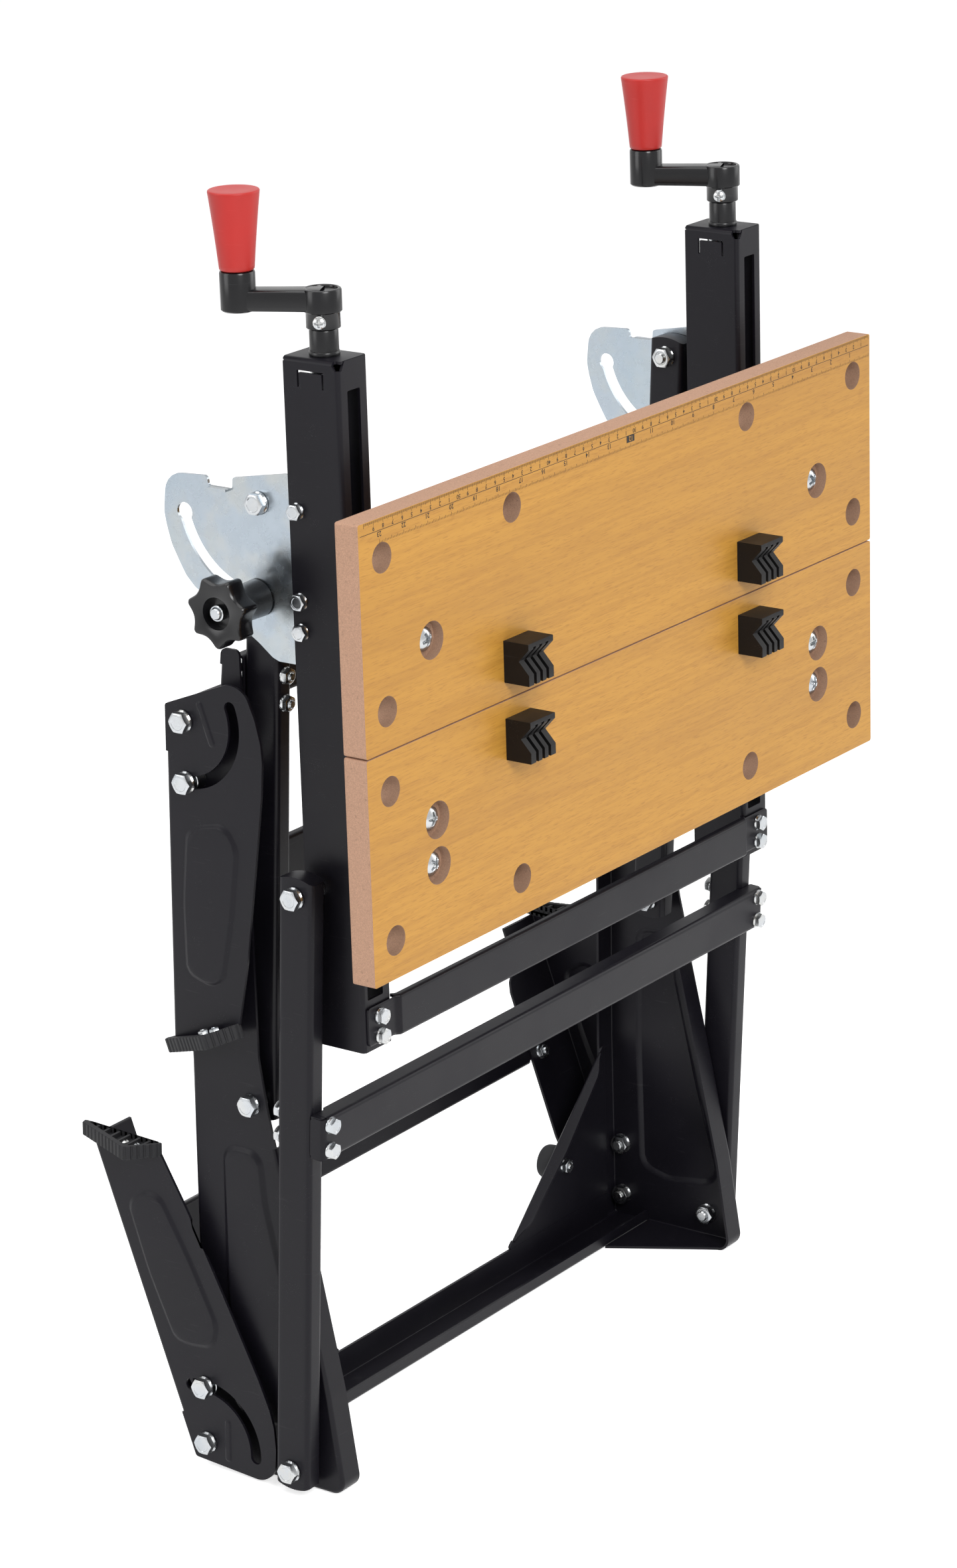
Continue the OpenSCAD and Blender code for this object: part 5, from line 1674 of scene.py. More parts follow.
    def crossbar(self) -> None:
        """Build the bar across the beams' lower ends.

        Between the beams it stands forward by the step, which rises over 4 mm as the
        smooth step, and has lips above and below.
        """
        r, lip = 2.6, 5.0
        face = PLAN.beam_front - PLAN.sheet
        high = self.bar_low + self.bar_h
        section = channel_fold(face, lip, high, self.bar_h, r)
        full, bend = section.length(), r * math.pi / 2
        top, foot = lip - r + bend * 0.6, full - (lip - r + bend * 0.6)
        inner, outer = PLAN.beam_in - 1.0, PLAN.beam_out - self.step
        loop = eared(inner, outer, top, foot, full)
        cuts = tuple(s * (inner - self.step_run * k / 4) for s in (-1, 1) for k in range(5))
        shape = folded(section, loop, [], cuts=cuts)
        x = abs(shape.points[:, 0])
        forward = self.step * smooth((inner - x) / self.step_run)
        points = shape.points - np.column_stack([0 * x, forward, 0 * x])
        steel("beam_brace", "table", ("beam_crossbar",), (0, -1, 0)).make(Surface(points, shape.faces))
        bolts = [bolt_y(M6, face, PLAN.beam_front + PLAN.sheet, x, self.bar_low + rise)
                 for x in (-PLAN.beam_mid, PLAN.beam_mid) for rise in self.bolt_rises]
        zinc("beam_brace_bolts", "table", "beam_crossbar_fasteners", *bolts)

    def bearings(self) -> None:
        """Build the lead screws' bearings: a flanged sleeve on each beam's top."""
        rows = [(6.1, 0.0), (9.9, 0.0), (10.0, 0.3), (10.0, 2.6), (9.7, 3.0), (9.5, 3.1), (9.4, 16.0), (9.0, 17.0),
                (8.4, 17.3), (6.1, 17.3), (6.1, 0.0)]
        parts = [profile(*rows).moved(shift(x, PLAN.screw_y, PLAN.beam_top)) for x in (-PLAN.beam_mid, PLAN.beam_mid)]
        Piece("screw_sleeves", "table", ("screw_bearings",), (Look.GLOSS,)).make(joined(*parts))

    def build(self) -> None:
        """Build the whole table without its jaws."""
        for side, label in SIDES:
            self.beam(side, label)
            self.quadrant(side, label)
        zinc("plate_bolt_set", "table", "quadrant_fasteners", *self.plate_bolts)
        self.crossbar()
        self.bearings()
        tops = [bolt_x(s, M8, PLAN.link_out + PLAN.play, PLAN.beam_out - PLAN.sheet, PLAN.link_top_pivot)
                for s, _ in SIDES]
        tops += [sleeve_x(s, M8, PLAN.beam_out, PLAN.link_in - PLAN.play, PLAN.link_top_pivot) for s, _ in SIDES]
        zinc("link_top_bolts", "table", "link_top_fasteners", *tops)
        from_node("fixed_jaw_blocks", "table", Look.PLASTIC, 0.5)


def folded_beam(section: Fold, loop: np.ndarray, holes: list) -> Surface:
    """Fold a beam's blank: its section lies in (X, Y) and its length along Z."""
    flat = folded(section, loop, holes)
    return Surface(flat.points[:, [1, 2, 0]], flat.faces)


@dataclass
class JawBoard:
    """A laminated board with dog holes and counterbored screws."""

    name: str
    body: str
    node: str
    low: float
    high: float
    screw_zs: tuple
    width: float = 608.0
    edge_gap: float = 26.0
    end_gap: float = 23.6
    bore: float = 25.2
    sunk: float = 8.0

    def build(self) -> None:
        """Build the board: two laminate faces, sawn edges, and bores and counterbore floors in a darker fibreboard
        that paints their shade.
        """
        half, thick = self.width / 2, PLAN.board_back - PLAN.board_front
        loop = rounded([(-half, self.low), (half, self.low), (half, self.high), (-half, self.high)], 1.6, 3)
        xs = (-(half - self.end_gap), -(half - self.end_gap) / 2, (half - self.end_gap) / 2, half - self.end_gap)
        dogs = [ring(x, z, 20.0, 48) for x in xs for z in (self.low + self.edge_gap, self.high - self.edge_gap)]
        at = [(x, z) for x in (-PLAN.beam_mid, PLAN.beam_mid) for z in self.screw_zs]
        wide = [ring(x, z, self.bore, 48) for x, z in at]
        thin = [ring(x, z, 8.2, 24) for x, z in at]
        parts = []
        for depth, holes in ((0.0, dogs + wide), (thick, dogs + thin)):
            parts.append(level(loop, holes, depth))
        # Finish 2, on the hole walls and counterbore floors, is the darker fibreboard: painted shade in the bores.
        for closed, top, foot, look in [(loop, 0.0, thick, 1)] + [(h, 0.0, thick, 2) for h in dogs] + \
                [(h, 0.0, self.sunk, 2) for h in wide] + [(h, self.sunk, thick, 2) for h in thin]:
            parts.append(upright(closed, top, foot).wearing(look))
        for outer, inner in zip(wide, thin):
            parts.append(level(outer, [inner], self.sunk).wearing(2))
        Piece(self.name, self.body, (self.node,), (Look.BOARD, Look.EDGE, Look.SHADED_BORE), edge=0.35).make(
            joined(*parts).moved(from_xz(PLAN.board_front)))

    def screws(self, length: float, nuts: bool) -> list:
        """Return the board's cross-head screws.

        Args:
            length: Length of each screw under its head.
            nuts: Whether nuts on a strip inside the beams hold them.

        Returns:
            The parts.
        """
        parts = []
        seat = PLAN.board_front + self.sunk
        for x in (-PLAN.beam_mid, PLAN.beam_mid):
            for z in self.screw_zs:
                place = shift(x, seat, z) @ turn("X", 90)
                parts += [cross_head(15.6, 5.4, 2.2, 4.2).moved(place @ turn("Z", 31 + 17 * (x > 0) + z)),
                          rod(7.9, -length, 0.1, 0.6).moved(place)]
                if nuts:
                    parts.append(hex_part(8, 0.85, 8.0).moved(
                        shift(x, PLAN.beam_front + 2 * PLAN.sheet, z) @ turn("X", -90)))
        return parts


@dataclass
class Dog:
    """A swivel dog: finned block with a groove across it, on a stem in the board's hole."""

    name: str
    x: float
    z: float
    width: float = 28.0
    height: float = 28.5
    depth: float = 20.0
    slot: float = 3.1
    groove: float = 8.0

    def build(self) -> None:
        """Build the dog from slices across its width: fins, and lower webs between them."""
        top, apex = self.height / 2, self.groove - self.depth
        fin = [(0, -top), (-self.depth, -top), (-self.depth, -6.8), (apex, 1.8), (-self.depth, 10.4),
               (-self.depth, top), (0, top)]
        web = [(0, -top), (-6, -top), (-6, 0.6), (apex + 0.4, 0.6), (apex + 0.4, 3.0), (-6, 3.0), (-6, top - 3),
               (-self.depth, top - 3), (-self.depth, top), (0, top)]
        edges = [-self.width / 2]
        for k in (-1, 0, 1):
            edges += [k * self.width / 4 - self.slot / 2, k * self.width / 4 + self.slot / 2]
        edges.append(self.width / 2)
        parts = []
        for k, (low, high) in enumerate(zip(edges, edges[1:])):
            between = k % 2 == 1
            lap = 0.0 if between else 0.05
            start, end = (low if k == 0 else low - lap), (high if k == len(edges) - 2 else high + lap)
            slice_ = slab(rounded(web if between else fin, 0.5, 3), [], start, end).wearing(0)
            parts.append(Surface(slice_.points[:, [2, 0, 1]], slice_.faces))
        stem = rod(19.7, -0.5, 18.0, 0.8, 48).moved(turn("X", -90))
        Piece(self.name + "_moulded", self.name, (self.name,), (Look.PLASTIC,), turned=35).make(
            joined(*parts, stem).moved(shift(self.x, PLAN.board_front, self.z)))


@dataclass
class Ruler:
    """Ruler printed along the moving jaw's upper edge: centimetres above, inches below."""

    top: float = 710.948
    zero: float = 302.0
    span: int = 60
    lift: float = 0.07

    def bars(self, boxes: np.ndarray) -> Surface:
        """Return flat bars from rows of (x0, z0, x1, z1).

        Args:
            boxes: One row for each bar.

        Returns:
            The bars.
        """
        x0, z0, x1, z1 = boxes.T
        y = np.full(len(boxes), PLAN.board_front - self.lift)
        points = np.stack([np.stack([x0, y, z0], -1), np.stack([x1, y, z0], -1), np.stack([x1, y, z1], -1),
                           np.stack([x0, y, z1], -1)], axis=1).reshape(-1, 3)
        first = np.arange(len(boxes)) * 4
        return Surface(points, [(i, i + 1, i + 2, i + 3) for i in first.tolist()])

    def ticks(self, count: int, pitch: float, foot: float, way: float, sizes: tuple, every: tuple) -> np.ndarray:
        """Return tick bars: tick k is long where it divides by each of the two counts.

        Args:
            count: Number of the last tick.
            pitch: Way from tick to tick.
            foot: Z the ticks start at.
            way: 1 where they run up, -1 down.
            sizes: Short, middle and long length.
            every: Counts of the middle and the long ticks.

        Returns:
            One row for each tick.
        """
        k = np.arange(count + 1)
        length = np.where(k % every[1] == 0, sizes[2], np.where(k % every[0] == 0, sizes[1], sizes[0]))
        x = self.zero - k * pitch
        return np.stack([x - 0.17, foot + 0 * x, x + 0.17, foot + way * length], axis=-1)

    def build(self) -> None:
        """Build the print; the twelfth inch stands pale in a dark box."""
        edge = self.top
        x12 = self.zero - 12 * 25.4
        boxes = [self.ticks(self.span * 10, 1.0, edge - 0.5, -1.0, (1.6, 2.3, 3.0), (5, 10)),
                 self.ticks(23 * 16, 25.4 / 16, edge - 16.2, 1.0, (1.3, 1.9, 2.6), (4, 8)),
                 np.array([[-302.0, edge - 8.1, 302.0, edge - 7.75], [x12 - 4.6, edge - 12.6, x12 + 4.6, edge - 8.0]])]
        parts = [self.bars(np.concatenate(boxes))]
        for number in range(1, self.span):
            label = str(number if number % 10 == 0 else number % 10)
            parts.append(self.figure(label, 3.0, self.zero - 10.0 * number, edge - 5.6))
        for number in range(1, 24):
            parts.append(self.figure(str(number), 3.4, self.zero - 25.4 * number, edge - 10.3,
                                     self.lift * (2 if number == 12 else 1)).wearing(int(number == 12)))
        Piece("ruler_print", "jaw", (), (Look.INK, Look.BOARD)).make(joined(*parts))

    def figure(self, text: str, size: float, x: float, z: float, lift: float = 0.07) -> Surface:
        """Return one number, upside down as the bench stands."""
        matrix = np.array([[-1.0, 0, 0, x], [0, 0, 0, PLAN.board_front - lift], [0, -1, 0, z], [0, 0, 0, 1]])
        return digits(text, size).moved(matrix)


@dataclass
class Crank:
    """Lead screw, crank and grip of one side."""

    side: int
    label: str
    angle: float
    reach: float = 54.5
    low: float = 587.748
    pitch: float = 4.0

    def place(self) -> np.ndarray:
        """Return the frame on the screw's axis, its X along the arm."""
        return shift(self.side * PLAN.beam_mid, PLAN.screw_y, 0) @ turn("Z", self.angle)

    def screw(self) -> None:
        """Build the lead screw.

        The thread's radius at angle t and height z is the root's plus the thread's depth
        times a trapezoid wave of z over the pitch less t over a full turn.
        """
        steps, top = 24, PLAN.beam_top - 12.0
        z = np.arange(self.low + 1.0, top, 0.5)[:, None]
        t = (np.arange(steps) * 2 * np.pi / steps)[None, :]
        phase = np.mod(z / self.pitch - t / (2 * np.pi), 1.0)
        r = 4.7 + 1.3 * np.clip(2.2 - np.abs(phase - 0.5) * 6.5, 0, 1)
        points = np.stack([r * np.cos(t), r * np.sin(t), np.broadcast_to(z, r.shape)], axis=-1)
        body = grid(points, close_columns=True)
        ends = [profile((0.0, self.low), (3.9, self.low), (4.7, self.low + 1.0), steps=steps),
                profile((4.7, z[-1, 0]), (5.95, z[-1, 0] + 1.2), (5.95, PLAN.beam_top - 11.0),
                        (9.6, PLAN.beam_top - 11.0), (10.0, PLAN.beam_top - 10.6), (10.0, PLAN.beam_top - 2.7),
                        (9.6, PLAN.beam_top - 2.3), (5.95, PLAN.beam_top - 2.3), (5.95, PLAN.hub_bottom + 8.0),
                        (0.0, PLAN.hub_bottom + 8.0), steps=steps)]
        Piece("threaded_screw_" + self.label, "crank_" + self.label, ("lead_screw_" + self.label,),
              (Look.ZINC,)).make(joined(body, *ends).moved(shift(self.side * PLAN.beam_mid, PLAN.screw_y, 0)))

    def crank(self) -> None:
        """Build the crank: collar, hub with a dished top, tapered arm and boss.

        The arm's section is a rounded box whose half width and height run in a straight
        line from hub to boss, and whose corners follow a superellipse of power five.
        """
        base = PLAN.hub_bottom
        low = base - 10.5
        hub = profile((6.1, low), (10.7, low), (11.1, low + 0.4), (11.1, base - 0.6), (11.4, base), (12.0, base),
                      (12.5, base + 0.6), (12.5, base + 13.6), (12.1, base + 14.6), (11.4, base + 15.0),
                      (10.6, base + 15.0), (10.0, base + 14.6), (9.7, base + 13.6), (5.0, base + 13.2),
                      (0.0, base + 13.2))
        hub = joined(hub, profile((6.1, low), (6.1, base + 9.0), (0.0, base + 9.0)))
        boss = profile((0.0, base), (10.6, base), (11.5, base + 0.9), (11.5, base + 24.4), (11.1, base + 25.4),
                       (10.2, base + 25.9), (6.4, base + 25.9), (5.05, base + 24.6), (5.05, base + 15.0),
                       (0.0, base + 15.0)).moved(shift(x=self.reach))
        x = np.linspace(0, self.reach, 14)[:, None]
        share = x / self.reach
        t = (np.arange(40) * 2 * np.pi / 40)[None, :]
        half = 9.6 - 0.6 * share - 1.4 * np.sin(np.pi * share) * 0.4
        tall = (15.0 - 0.7 * share) / 2
        power = 2.0 / 5.0
        y = half * np.sign(np.cos(t)) * np.abs(np.cos(t)) ** power
        z = base + tall + tall * np.sign(np.sin(t)) * np.abs(np.sin(t)) ** power * 0.985
        arm = grid(np.stack([np.broadcast_to(x, y.shape), y, z], axis=-1), close_columns=True)
        pin = rod(10, base + 14.9, PLAN.grip_bottom + 44.8, 0.6).moved(shift(x=self.reach))
        screw = joined(cross_head(7.6, 2.3, 1.2, 2.5).moved(shift(z=1.4)), rod(5.0, -1.0, 1.5, 0.3),
                       profile((0.0, -0.6), (4.3, -0.6), (4.3, 1.0), (3.9, 1.4), (0.0, 1.4)))
        screw = screw.moved(shift(0, 11.0, low + 5.2) @ turn("X", -90)).wearing(1)
        Piece("crank_arm_" + self.label, "crank_" + self.label, ("crank_" + self.label,), (Look.GLOSS, Look.ZINC),
              turned=38).make(joined(hub, boss, arm, pin, screw).moved(self.place()))

    def grip(self) -> None:
        """Build the flared grip with its crisp rim and open foot."""
        h, foot, top, edge = 51.2, 11.4, 16.7, 1.1
        t = np.linspace(0, 1, 22)
        flare = foot + (top - foot) * (0.8 * t + 0.2 * t**2)
        rows = list(zip(flare.tolist(), (0.8 + t * (h - 0.8 - edge)).tolist()))
        a = np.linspace(0, np.pi / 2, 6)
        rim = list(zip((top - edge + edge * np.cos(a)).tolist(), (h - edge + edge * np.sin(a)).tolist()))
        cup = [(top - 4.6, h), (top - 7.5, h - 0.25), (0.0, h - 0.4)]
        shape = profile((5.06, h - 6.0), (5.06, 0.0), (foot - 0.9, 0.0), *rows, *rim[1:], *cup)
        inside_top = profile((0.0, h - 6.0), (5.06, h - 6.0))
        place = self.place() @ shift(self.reach, 0, PLAN.grip_bottom)
        Piece("flared_grip_" + self.label, "grip_" + self.label, ("grip_" + self.label,), (Look.GRIP,),
              turned=60).make(joined(shape, inside_top).moved(place))

    def build(self) -> None:
        """Build screw, crank and grip."""
        self.screw()
        self.crank()
        self.grip()


@dataclass
class Legs:
    """A pair of legs with their crossbar, feet and screws."""

    row: str
    leg_w: float = 80.0
    leg_l: float = 215.5
    lean: float = 1.82
    rear_y: float = 15.5
    rear_z: float = -9.7
    end_y: float = -38.0
    foot_l: float = 68.0
    foot_tilt: float = 20.0
    reach: float = 20.0
    swing: float = 110.0
    open_turn: float = 17.6
    bar_low: float = 122.0
    bar_h: float = 32.0
    bar_half: float = 232.0
    bar_inner: float = 209.0
    bolt_out: float = 222.0
    bolt_zs: tuple = (127.5, 147.0)

    def place(self) -> np.ndarray:
        """Return the frame of the pair: the upper legs hang, the lower legs stand open."""
        if self.row == "upper":
            return shift(y=PLAN.upper_leg_pivot[0], z=PLAN.upper_leg_pivot[1]) @ flip(2)
        return shift(y=PLAN.lower_leg_pivot[0], z=PLAN.lower_leg_pivot[1]) @ turn("X", -self.open_turn)

    def on_rear(self) -> np.ndarray:
        """Return the frame along the legs' rear edge."""
        return shift(y=self.rear_y, z=self.rear_z) @ turn("X", -self.lean)

    def on_foot(self) -> np.ndarray:
        """Return the frame of the foot: Y along the sole, Z out of it."""
        return shift(y=self.end_y, z=self.leg_l) @ turn("X", self.foot_tilt)

    def outline(self) -> np.ndarray:
        """Return the leg's outline in (Y, Z), with the foot end upward."""
        shares = [(0.19, -0.045), (-0.5, -0.146), (-0.66, -0.125), (-0.75, -0.046), (-0.8, 0.028), (-0.81, 0.088),
                  (-0.785, 0.195), (-0.7, 0.41), (-0.55, 0.766), (-0.475, 1)]
        front = [(self.leg_w * a, self.leg_l * b) for a, b in shares]
        foot = self.on_foot()
        cut = 6.0 + PLAN.sheet / 2

        def on_sole(y: float) -> tuple:
            """Return the point of the leg's end at a place along the sole."""
            point = foot @ np.array([0, y, -cut, 1.0])
            return point[1], point[2]

        end = on_sole(1.0)
        rear_slope = math.tan(math.radians(self.lean))
        y = 66.0
        tail = on_sole(y)
        for _ in range(8):
            tail = on_sole(y)
            want = self.rear_y + (tail[1] - self.rear_z) * rear_slope
            y += (want - tail[0]) / math.cos(math.radians(self.foot_tilt))
        tail = on_sole(y)
        corners = [*front[:-1], end, tail]
        radii = [2.5, 40, 30, 24, 24, 24, 50, 100, 200, 3, 3]
        return dense(rounded(corners, radii[:len(corners)], 9), 8.0)

    def plate(self, side: int, label: str) -> None:
        """Build one leg: side plate with an arc slot and pressed fields, and the rear flange.

        Args:
            side: 1 for the right, -1 for the left.
            label: The side's name.
        """
        loop = self.outline()
        back = math.radians(self.lean)
        along = (loop[:, 1] - self.rear_z) / math.cos(back)
        off = abs(loop[:, 0] - self.rear_y - (loop[:, 1] - self.rear_z) * math.tan(back))
        width = np.interp(along, [*(self.leg_l * share for share in (0.15, 0.17, 0.3, 0.9, 0.97)), 235.0],
                          [0, 8, 54, 54, 40, 40])
        width = np.where((off < 0.6) & (width > 0.5), width, 0.0)
        main = rounded([(8.3, 178.4), (-12.4, 184.7), (-24.9, 178.9), (-35.3, 130.4), (-42.1, 83.0), (-32.2, 65.8),
                        (-10, 70.5), (2.5, 76.2), (8.1, 127.1)], [10, 14, 14, 200, 14, 14, 40, 12, 200], 7)
        holes = [ring(0, 0, 8.2, 24), arc_slot(PLAN.guide, 9.0, 90, 90 + self.swing)]
        bead = rounded([(-27.0, 13.6), (-21.6, 15.8), (-10.6, -14.6), (-16.0, -16.8)], 2.6, 5)
        shape = pressing(loop, width, holes, [Emboss(dense(main, 7.0), 3.2, 1.8), Emboss(dense(bead, 2.0), 1.6, 0.7)])
        place = self.place()
        leg = shape.moved(place @ from_yz(side, PLAN.leg_out))
        steel("%s_leg_plate_%s" % (self.row, label), self.row + "_legs",
              ("%s_leg_%s" % (self.row, label),), (side, 0, 0), 0.35).make(leg)
        tab = self.plan(2.6, 3)
        tabbed = slab(tab, [], -8.0, -6.05).wearing(0).moved(place @ sided(side) @ self.on_foot())
        Piece("%s_leg_tab_%s" % (self.row, label), self.row + "_legs", (), (Look.STEEL,), edge=0.3).make(tabbed)

    def plan(self, inset: float, steps: int = 5) -> np.ndarray:
        """Return the foot's rounded plan, drawn in by an inset.

        Args:
            inset: How far it is drawn in.
            steps: Points on each rounded corner.

        Returns:
            The outline.
        """
        corners = [(PLAN.leg_in, inset), (PLAN.leg_out, inset), (PLAN.leg_out + self.reach - 1.6 * inset,
                                                                 self.foot_l * 0.25),
                   (PLAN.leg_out + 2.5 - inset, self.foot_l - 2 * inset), (PLAN.leg_in, self.foot_l - 2 * inset)]
        return rounded(corners, [0.5, 2.5, 4.5, 2.0, 0.5], steps)

    def feet(self) -> None:
        """Build the foot pads: the plan carried upward with grooves up and down the wall.

        The wall is drawn in by 0.8 mm where the cosine of the way round it over 4.6 mm is
        near one; the sole is hollow with ribs across it.
        """
        parts = []
        rim, well = dense(self.plan(0.0), 0.75), self.plan(2.5)
        out = normals(rim)
        run = np.cumsum(np.linalg.norm(rim - np.roll(rim, 1, axis=0), axis=1))
        groove = 0.8 * smooth((np.cos(2 * np.pi * run / 4.6) - 0.35) / 0.4)
        rims = [rim - out * np.maximum(inset, groove)[:, None] for inset in (0.5, 0.0, 0.0, 0.4)]
        wall = np.stack([np.column_stack([loop, np.full(len(rim), z)])
                         for loop, z in zip(rims, (-10.0, -9.6, -0.5, 0.0))])
        for side, _ in SIDES:
            skins = [grid(wall, close_columns=True)]
            for outer, low, floor in ((rims[3], 0.0, -4.0), (rims[0], -10.0, -6.0)):
                skins += [level(outer, [well], low), level(well, [], floor), upright(well, low, floor)]
            pad = joined(*skins)
            ribs = []
            for k in range(1, 7):
                y = 9.0 * k + 1.0
                tall = 1.5 + self.reach * min(y / 17.0, (self.foot_l - y) / 51.0 * 0.95) - 1.5
                rib = slab(rounded([(PLAN.leg_in + 0.5, y - 0.9), (PLAN.leg_in + tall, y - 0.9),
                                    (PLAN.leg_in + tall, y + 0.9), (PLAN.leg_in + 0.5, y + 0.9)], 0.4, 2),
                           [], -4.0, -0.8)
                ribs.append(rib.wearing(0))
            parts.append(joined(pad, *ribs).moved(self.place() @ sided(side) @ self.on_foot()))
        Piece(self.row + "_foot_pads", self.row + "_legs", (self.row + "_feet",), (Look.RUBBER,),
              turned=32).make(joined(*parts))

    def bar(self) -> None:
        """Build the crossbar on the legs' rear flanges."""
        r, deep, low = 2.6, 6.0, self.bar_low - self.rear_z
        section = channel_fold(0.0, deep, low + self.bar_h, self.bar_h, r)
        full, bend = section.length(), r * math.pi / 2
        lip = deep - r + bend
        loop = eared(self.bar_inner, self.bar_half, lip, full - lip, full)
        place = self.place() @ self.on_rear()
        steel(self.row + "_leg_brace", self.row + "_legs", (self.row + "_leg_crossbar",), (0, -1, 0)).make(
            folded(section, loop, []).moved(place))
        parts = [fastener(M6, 2 * PLAN.sheet).moved(place @ shift(x, PLAN.sheet, z - self.rear_z) @ turn("X", -90))
                 for x in (-self.bolt_out, self.bolt_out) for z in self.bolt_zs]
        for side, _ in SIDES:
            for share in (0.26, 0.41):
                at = self.place() @ sided(side) @ self.on_foot() @ shift(PLAN.leg_out + 5.5, self.foot_l * share, 0)
                parts += [cross_head(7.6, 2.0, 1.1, 2.3).moved(at @ shift(z=-4.0)),
                          rod(4, -12, -4, 0.3).moved(at), hex_part(4, 0.85).moved(at @ shift(z=-8.0) @ turn("X", 180))]
        zinc(self.row + "_leg_bolts", self.row + "_legs", self.row + "_leg_fasteners", *parts)

    def build(self) -> None:
        """Build the pair."""
        for side, label in SIDES:
            self.plate(side, label)
        self.feet()
        self.bar()


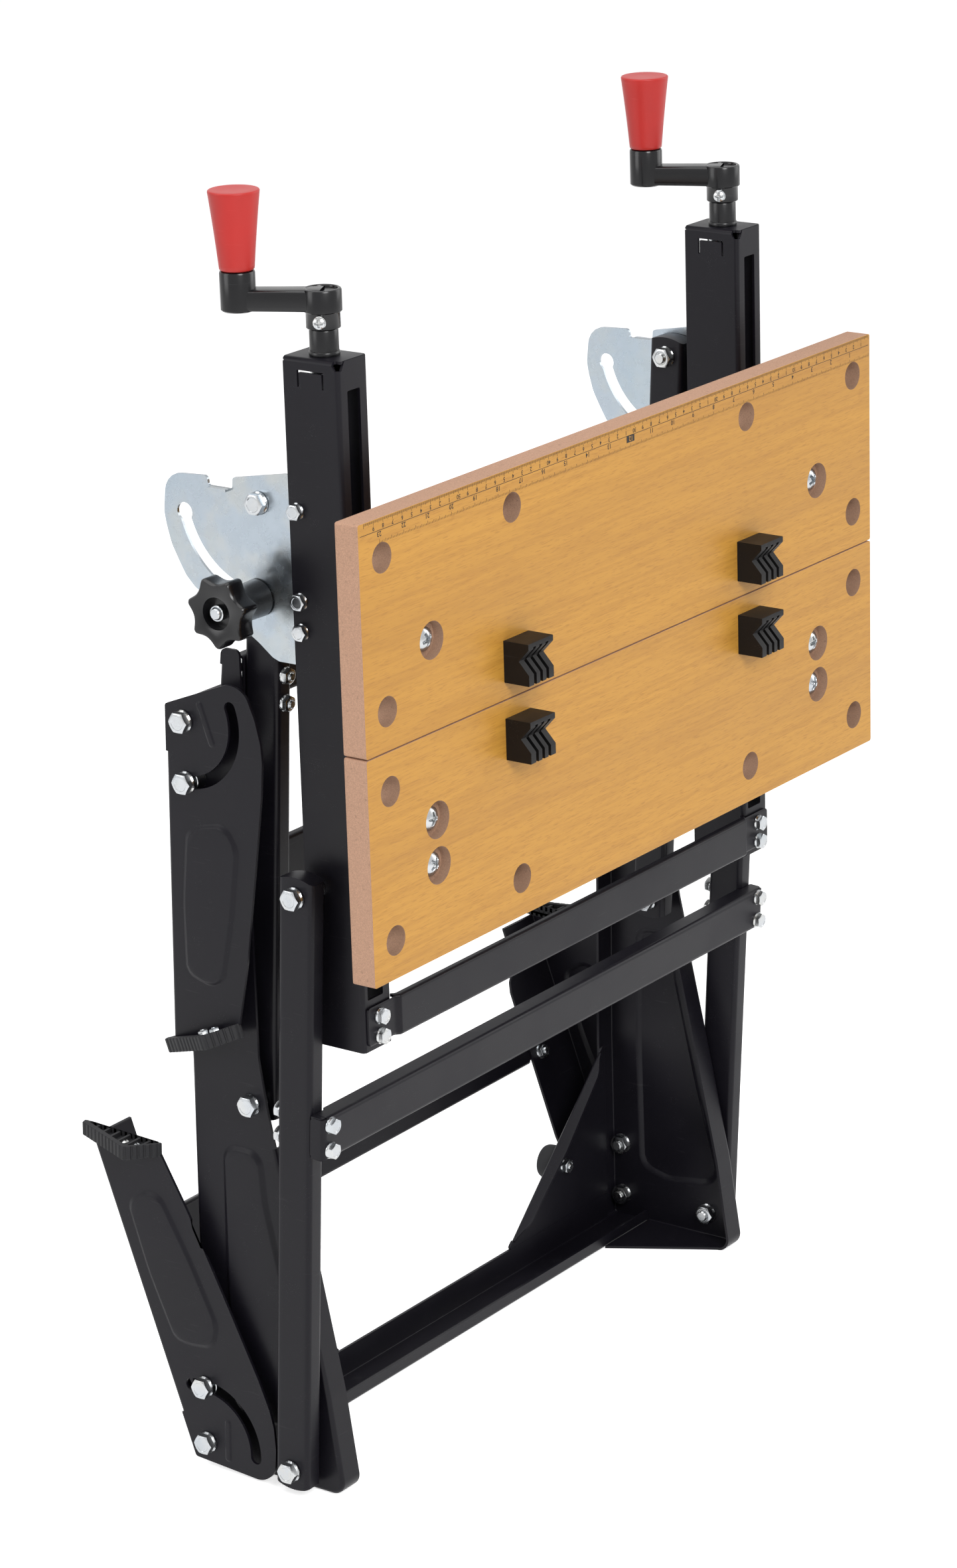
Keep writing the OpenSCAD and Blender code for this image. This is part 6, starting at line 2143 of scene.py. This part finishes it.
@dataclass
class Studio:
    """Floor, backdrop, lamps and the photograph's camera."""

    eye: tuple = (-2.51503, -1.89828, 1.45664)
    rotation: tuple = (1.7157861064766922, -0.9016740171537486, 0.6124119738492313)
    lens: float = 107.36
    lens_shift: tuple = (-0.0003, 0.00999)

    def seen(self, g: Graph) -> bpy.types.NodeSocket:
        """Return one for rays that show a thing to the eye and zero for rays that light it."""
        rays = g.add("ShaderNodeLightPath").outputs
        return g.math("MAXIMUM", rays["Is Camera Ray"], g.math("MAXIMUM", rays["Is Glossy Ray"],
                                                               rays["Is Transmission Ray"]))

    def backdrop(self) -> None:
        """Build the floor: a plain flat sheet under the bench."""
        material = bpy.data.materials.new("pale_floor")
        material.use_nodes = True
        g = Graph(material.node_tree)
        g.tree.nodes.clear()
        place = g.add("ShaderNodeTexCoord").outputs["Object"]
        tone = g.mixed(g.noise(place, 3.0), (0.94, 0.94, 0.94), (0.98, 0.98, 0.98))
        lit = g.add("ShaderNodeBsdfPrincipled", {"Base Color": tone, "Roughness": 0.9})
        glow = g.add("ShaderNodeEmission", {"Strength": g.math("MULTIPLY", self.seen(g), 0.67)})
        share = g.add("ShaderNodeAddShader", {0: lit.outputs[0], 1: glow.outputs[0]})
        out = g.add("ShaderNodeOutputMaterial")
        g.tree.links.new(share.outputs[0], out.inputs[0])
        t = np.linspace(-9.0, 9.0, 40)
        points = np.stack(np.meshgrid(t, t, indexing="ij") + [np.zeros((40, 40))], axis=-1) * 1000
        points[..., 2] -= 0.4
        surface = grid(points)
        mesh = bpy.data.meshes.new("floor")
        mesh.from_pydata((surface.points / 1000).tolist(), [], surface.faces)
        mesh.materials.append(material)
        thing = bpy.data.objects.new("floor", mesh)
        bpy.context.scene.collection.objects.link(thing)

    def lamp(self, name: str, at: tuple, size: float, power: float) -> None:
        """Hang a square soft lamp that faces the bench.

        Args:
            name: Name of the lamp.
            at: Its place in metres.
            size: Its width in metres.
            power: Its power in watts.
        """
        light = bpy.data.lights.new(name, "AREA")
        light.size, light.energy = size, power
        thing = bpy.data.objects.new(name, light)
        thing.location = at
        thing.rotation_euler = (Vector((0.0, -0.08, 0.45)) - Vector(at)).to_track_quat("-Z", "Y").to_euler()
        bpy.context.scene.collection.objects.link(thing)

    def build(self) -> None:
        """Build the stage, the lamps, the world and the camera."""
        self.backdrop()
        self.lamp("key", (-1.7, -2.6, 2.4), 1.4, 80.0)
        self.lamp("fill", (2.6, -2.0, 1.6), 2.0, 26.0)
        self.lamp("top", (-0.4, 0.4, 3.0), 2.2, 34.0)
        self.lamp("rim", (-2.6, 1.8, 1.5), 1.6, 22.0)
        world = bpy.data.worlds.new("studio")
        bpy.context.scene.world = world
        world.use_nodes = True
        g = Graph(world.node_tree)
        g.tree.nodes.clear()
        strength = g.math("ADD", 0.28, g.math("MULTIPLY", self.seen(g), 0.72))
        ground = g.add("ShaderNodeBackground", {"Color": (1.0, 1.0, 1.0, 1.0), "Strength": strength})
        out = g.add("ShaderNodeOutputWorld")
        g.tree.links.new(ground.outputs[0], out.inputs[0])
        bpy.context.scene.view_settings.view_transform = "Standard"
        lens = bpy.data.cameras.new("photo_camera")
        lens.lens, lens.sensor_width = self.lens, 36.0
        lens.shift_x, lens.shift_y = self.lens_shift
        lens.clip_end = 50.0
        camera = bpy.data.objects.new("photo_camera", lens)
        bpy.context.scene.collection.objects.link(camera)
        axis = Vector(self.rotation)
        rows = Matrix.Rotation(axis.length, 3, axis.normalized())
        right, down, ahead = rows[0], rows[1], rows[2]
        turned = Matrix((right, [-v for v in down], [-v for v in ahead])).transposed().to_4x4()
        turned.translation = Vector(self.eye)
        camera.matrix_world = turned
        bpy.context.scene.camera = camera


def build_jaws() -> None:
    """Build both boards, their screws, the carriages, the ruler and the dogs."""
    moving = JawBoard("moving_board", "jaw", "moving_jaw", low=558.448, high=710.948,
                      screw_zs=(618.748,))
    fixed = JawBoard("fixed_board", "table", "fixed_jaw", low=404.948, high=557.448,
                     screw_zs=(498.248, 467.248))
    moving.build()
    fixed.build()
    Piece("moving_board_screws", "jaw", ("moving_jaw_screws",), (Look.ZINC,), turned=50).make(
        joined(*moving.screws(35.9, False)))
    strips = [Surface(np.array([[x + sx * 10.5, PLAN.beam_front + 2 + sy, z] for sx in (-1, 1) for sy in (0, 2)
                                for z in (459.248, 506.248 + 1.0)]),
                      [(0, 1, 3, 2), (4, 6, 7, 5), (0, 2, 6, 4), (1, 5, 7, 3), (0, 4, 5, 1), (2, 3, 7, 6)])
              for x in (-PLAN.beam_mid, PLAN.beam_mid)]
    Piece("fixed_board_screws", "table", ("fixed_jaw_fasteners",), (Look.ZINC,), turned=50).make(
        joined(*fixed.screws(58.0, True), *strips))
    Ruler().build()
    for side, label in SIDES:
        from_node("jaw_carriage_" + label, "jaw", Look.PLASTIC, 0.5)
        for row in ("upper", "lower"):
            z = PLAN.dog_upper_z if row == "upper" else PLAN.dog_lower_z
            Dog("dog_%s_%s" % (row, label), side * PLAN.dog_x, z).build()


def main() -> None:
    """Build the bench and its studio in order."""
    logging.basicConfig(level=logging.INFO, format="%(name)s: %(message)s")
    Studio().build()
    Base().build()
    Linkage().build()
    Table().build()
    build_jaws()
    for side, label, angle in ((-1, "left", 115.5), (1, "right", 113.2)):
        Crank(side, label, angle).build()
    for row in ("upper", "lower"):
        Legs(row).build()
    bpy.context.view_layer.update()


if __name__ == "__main__":
    main()
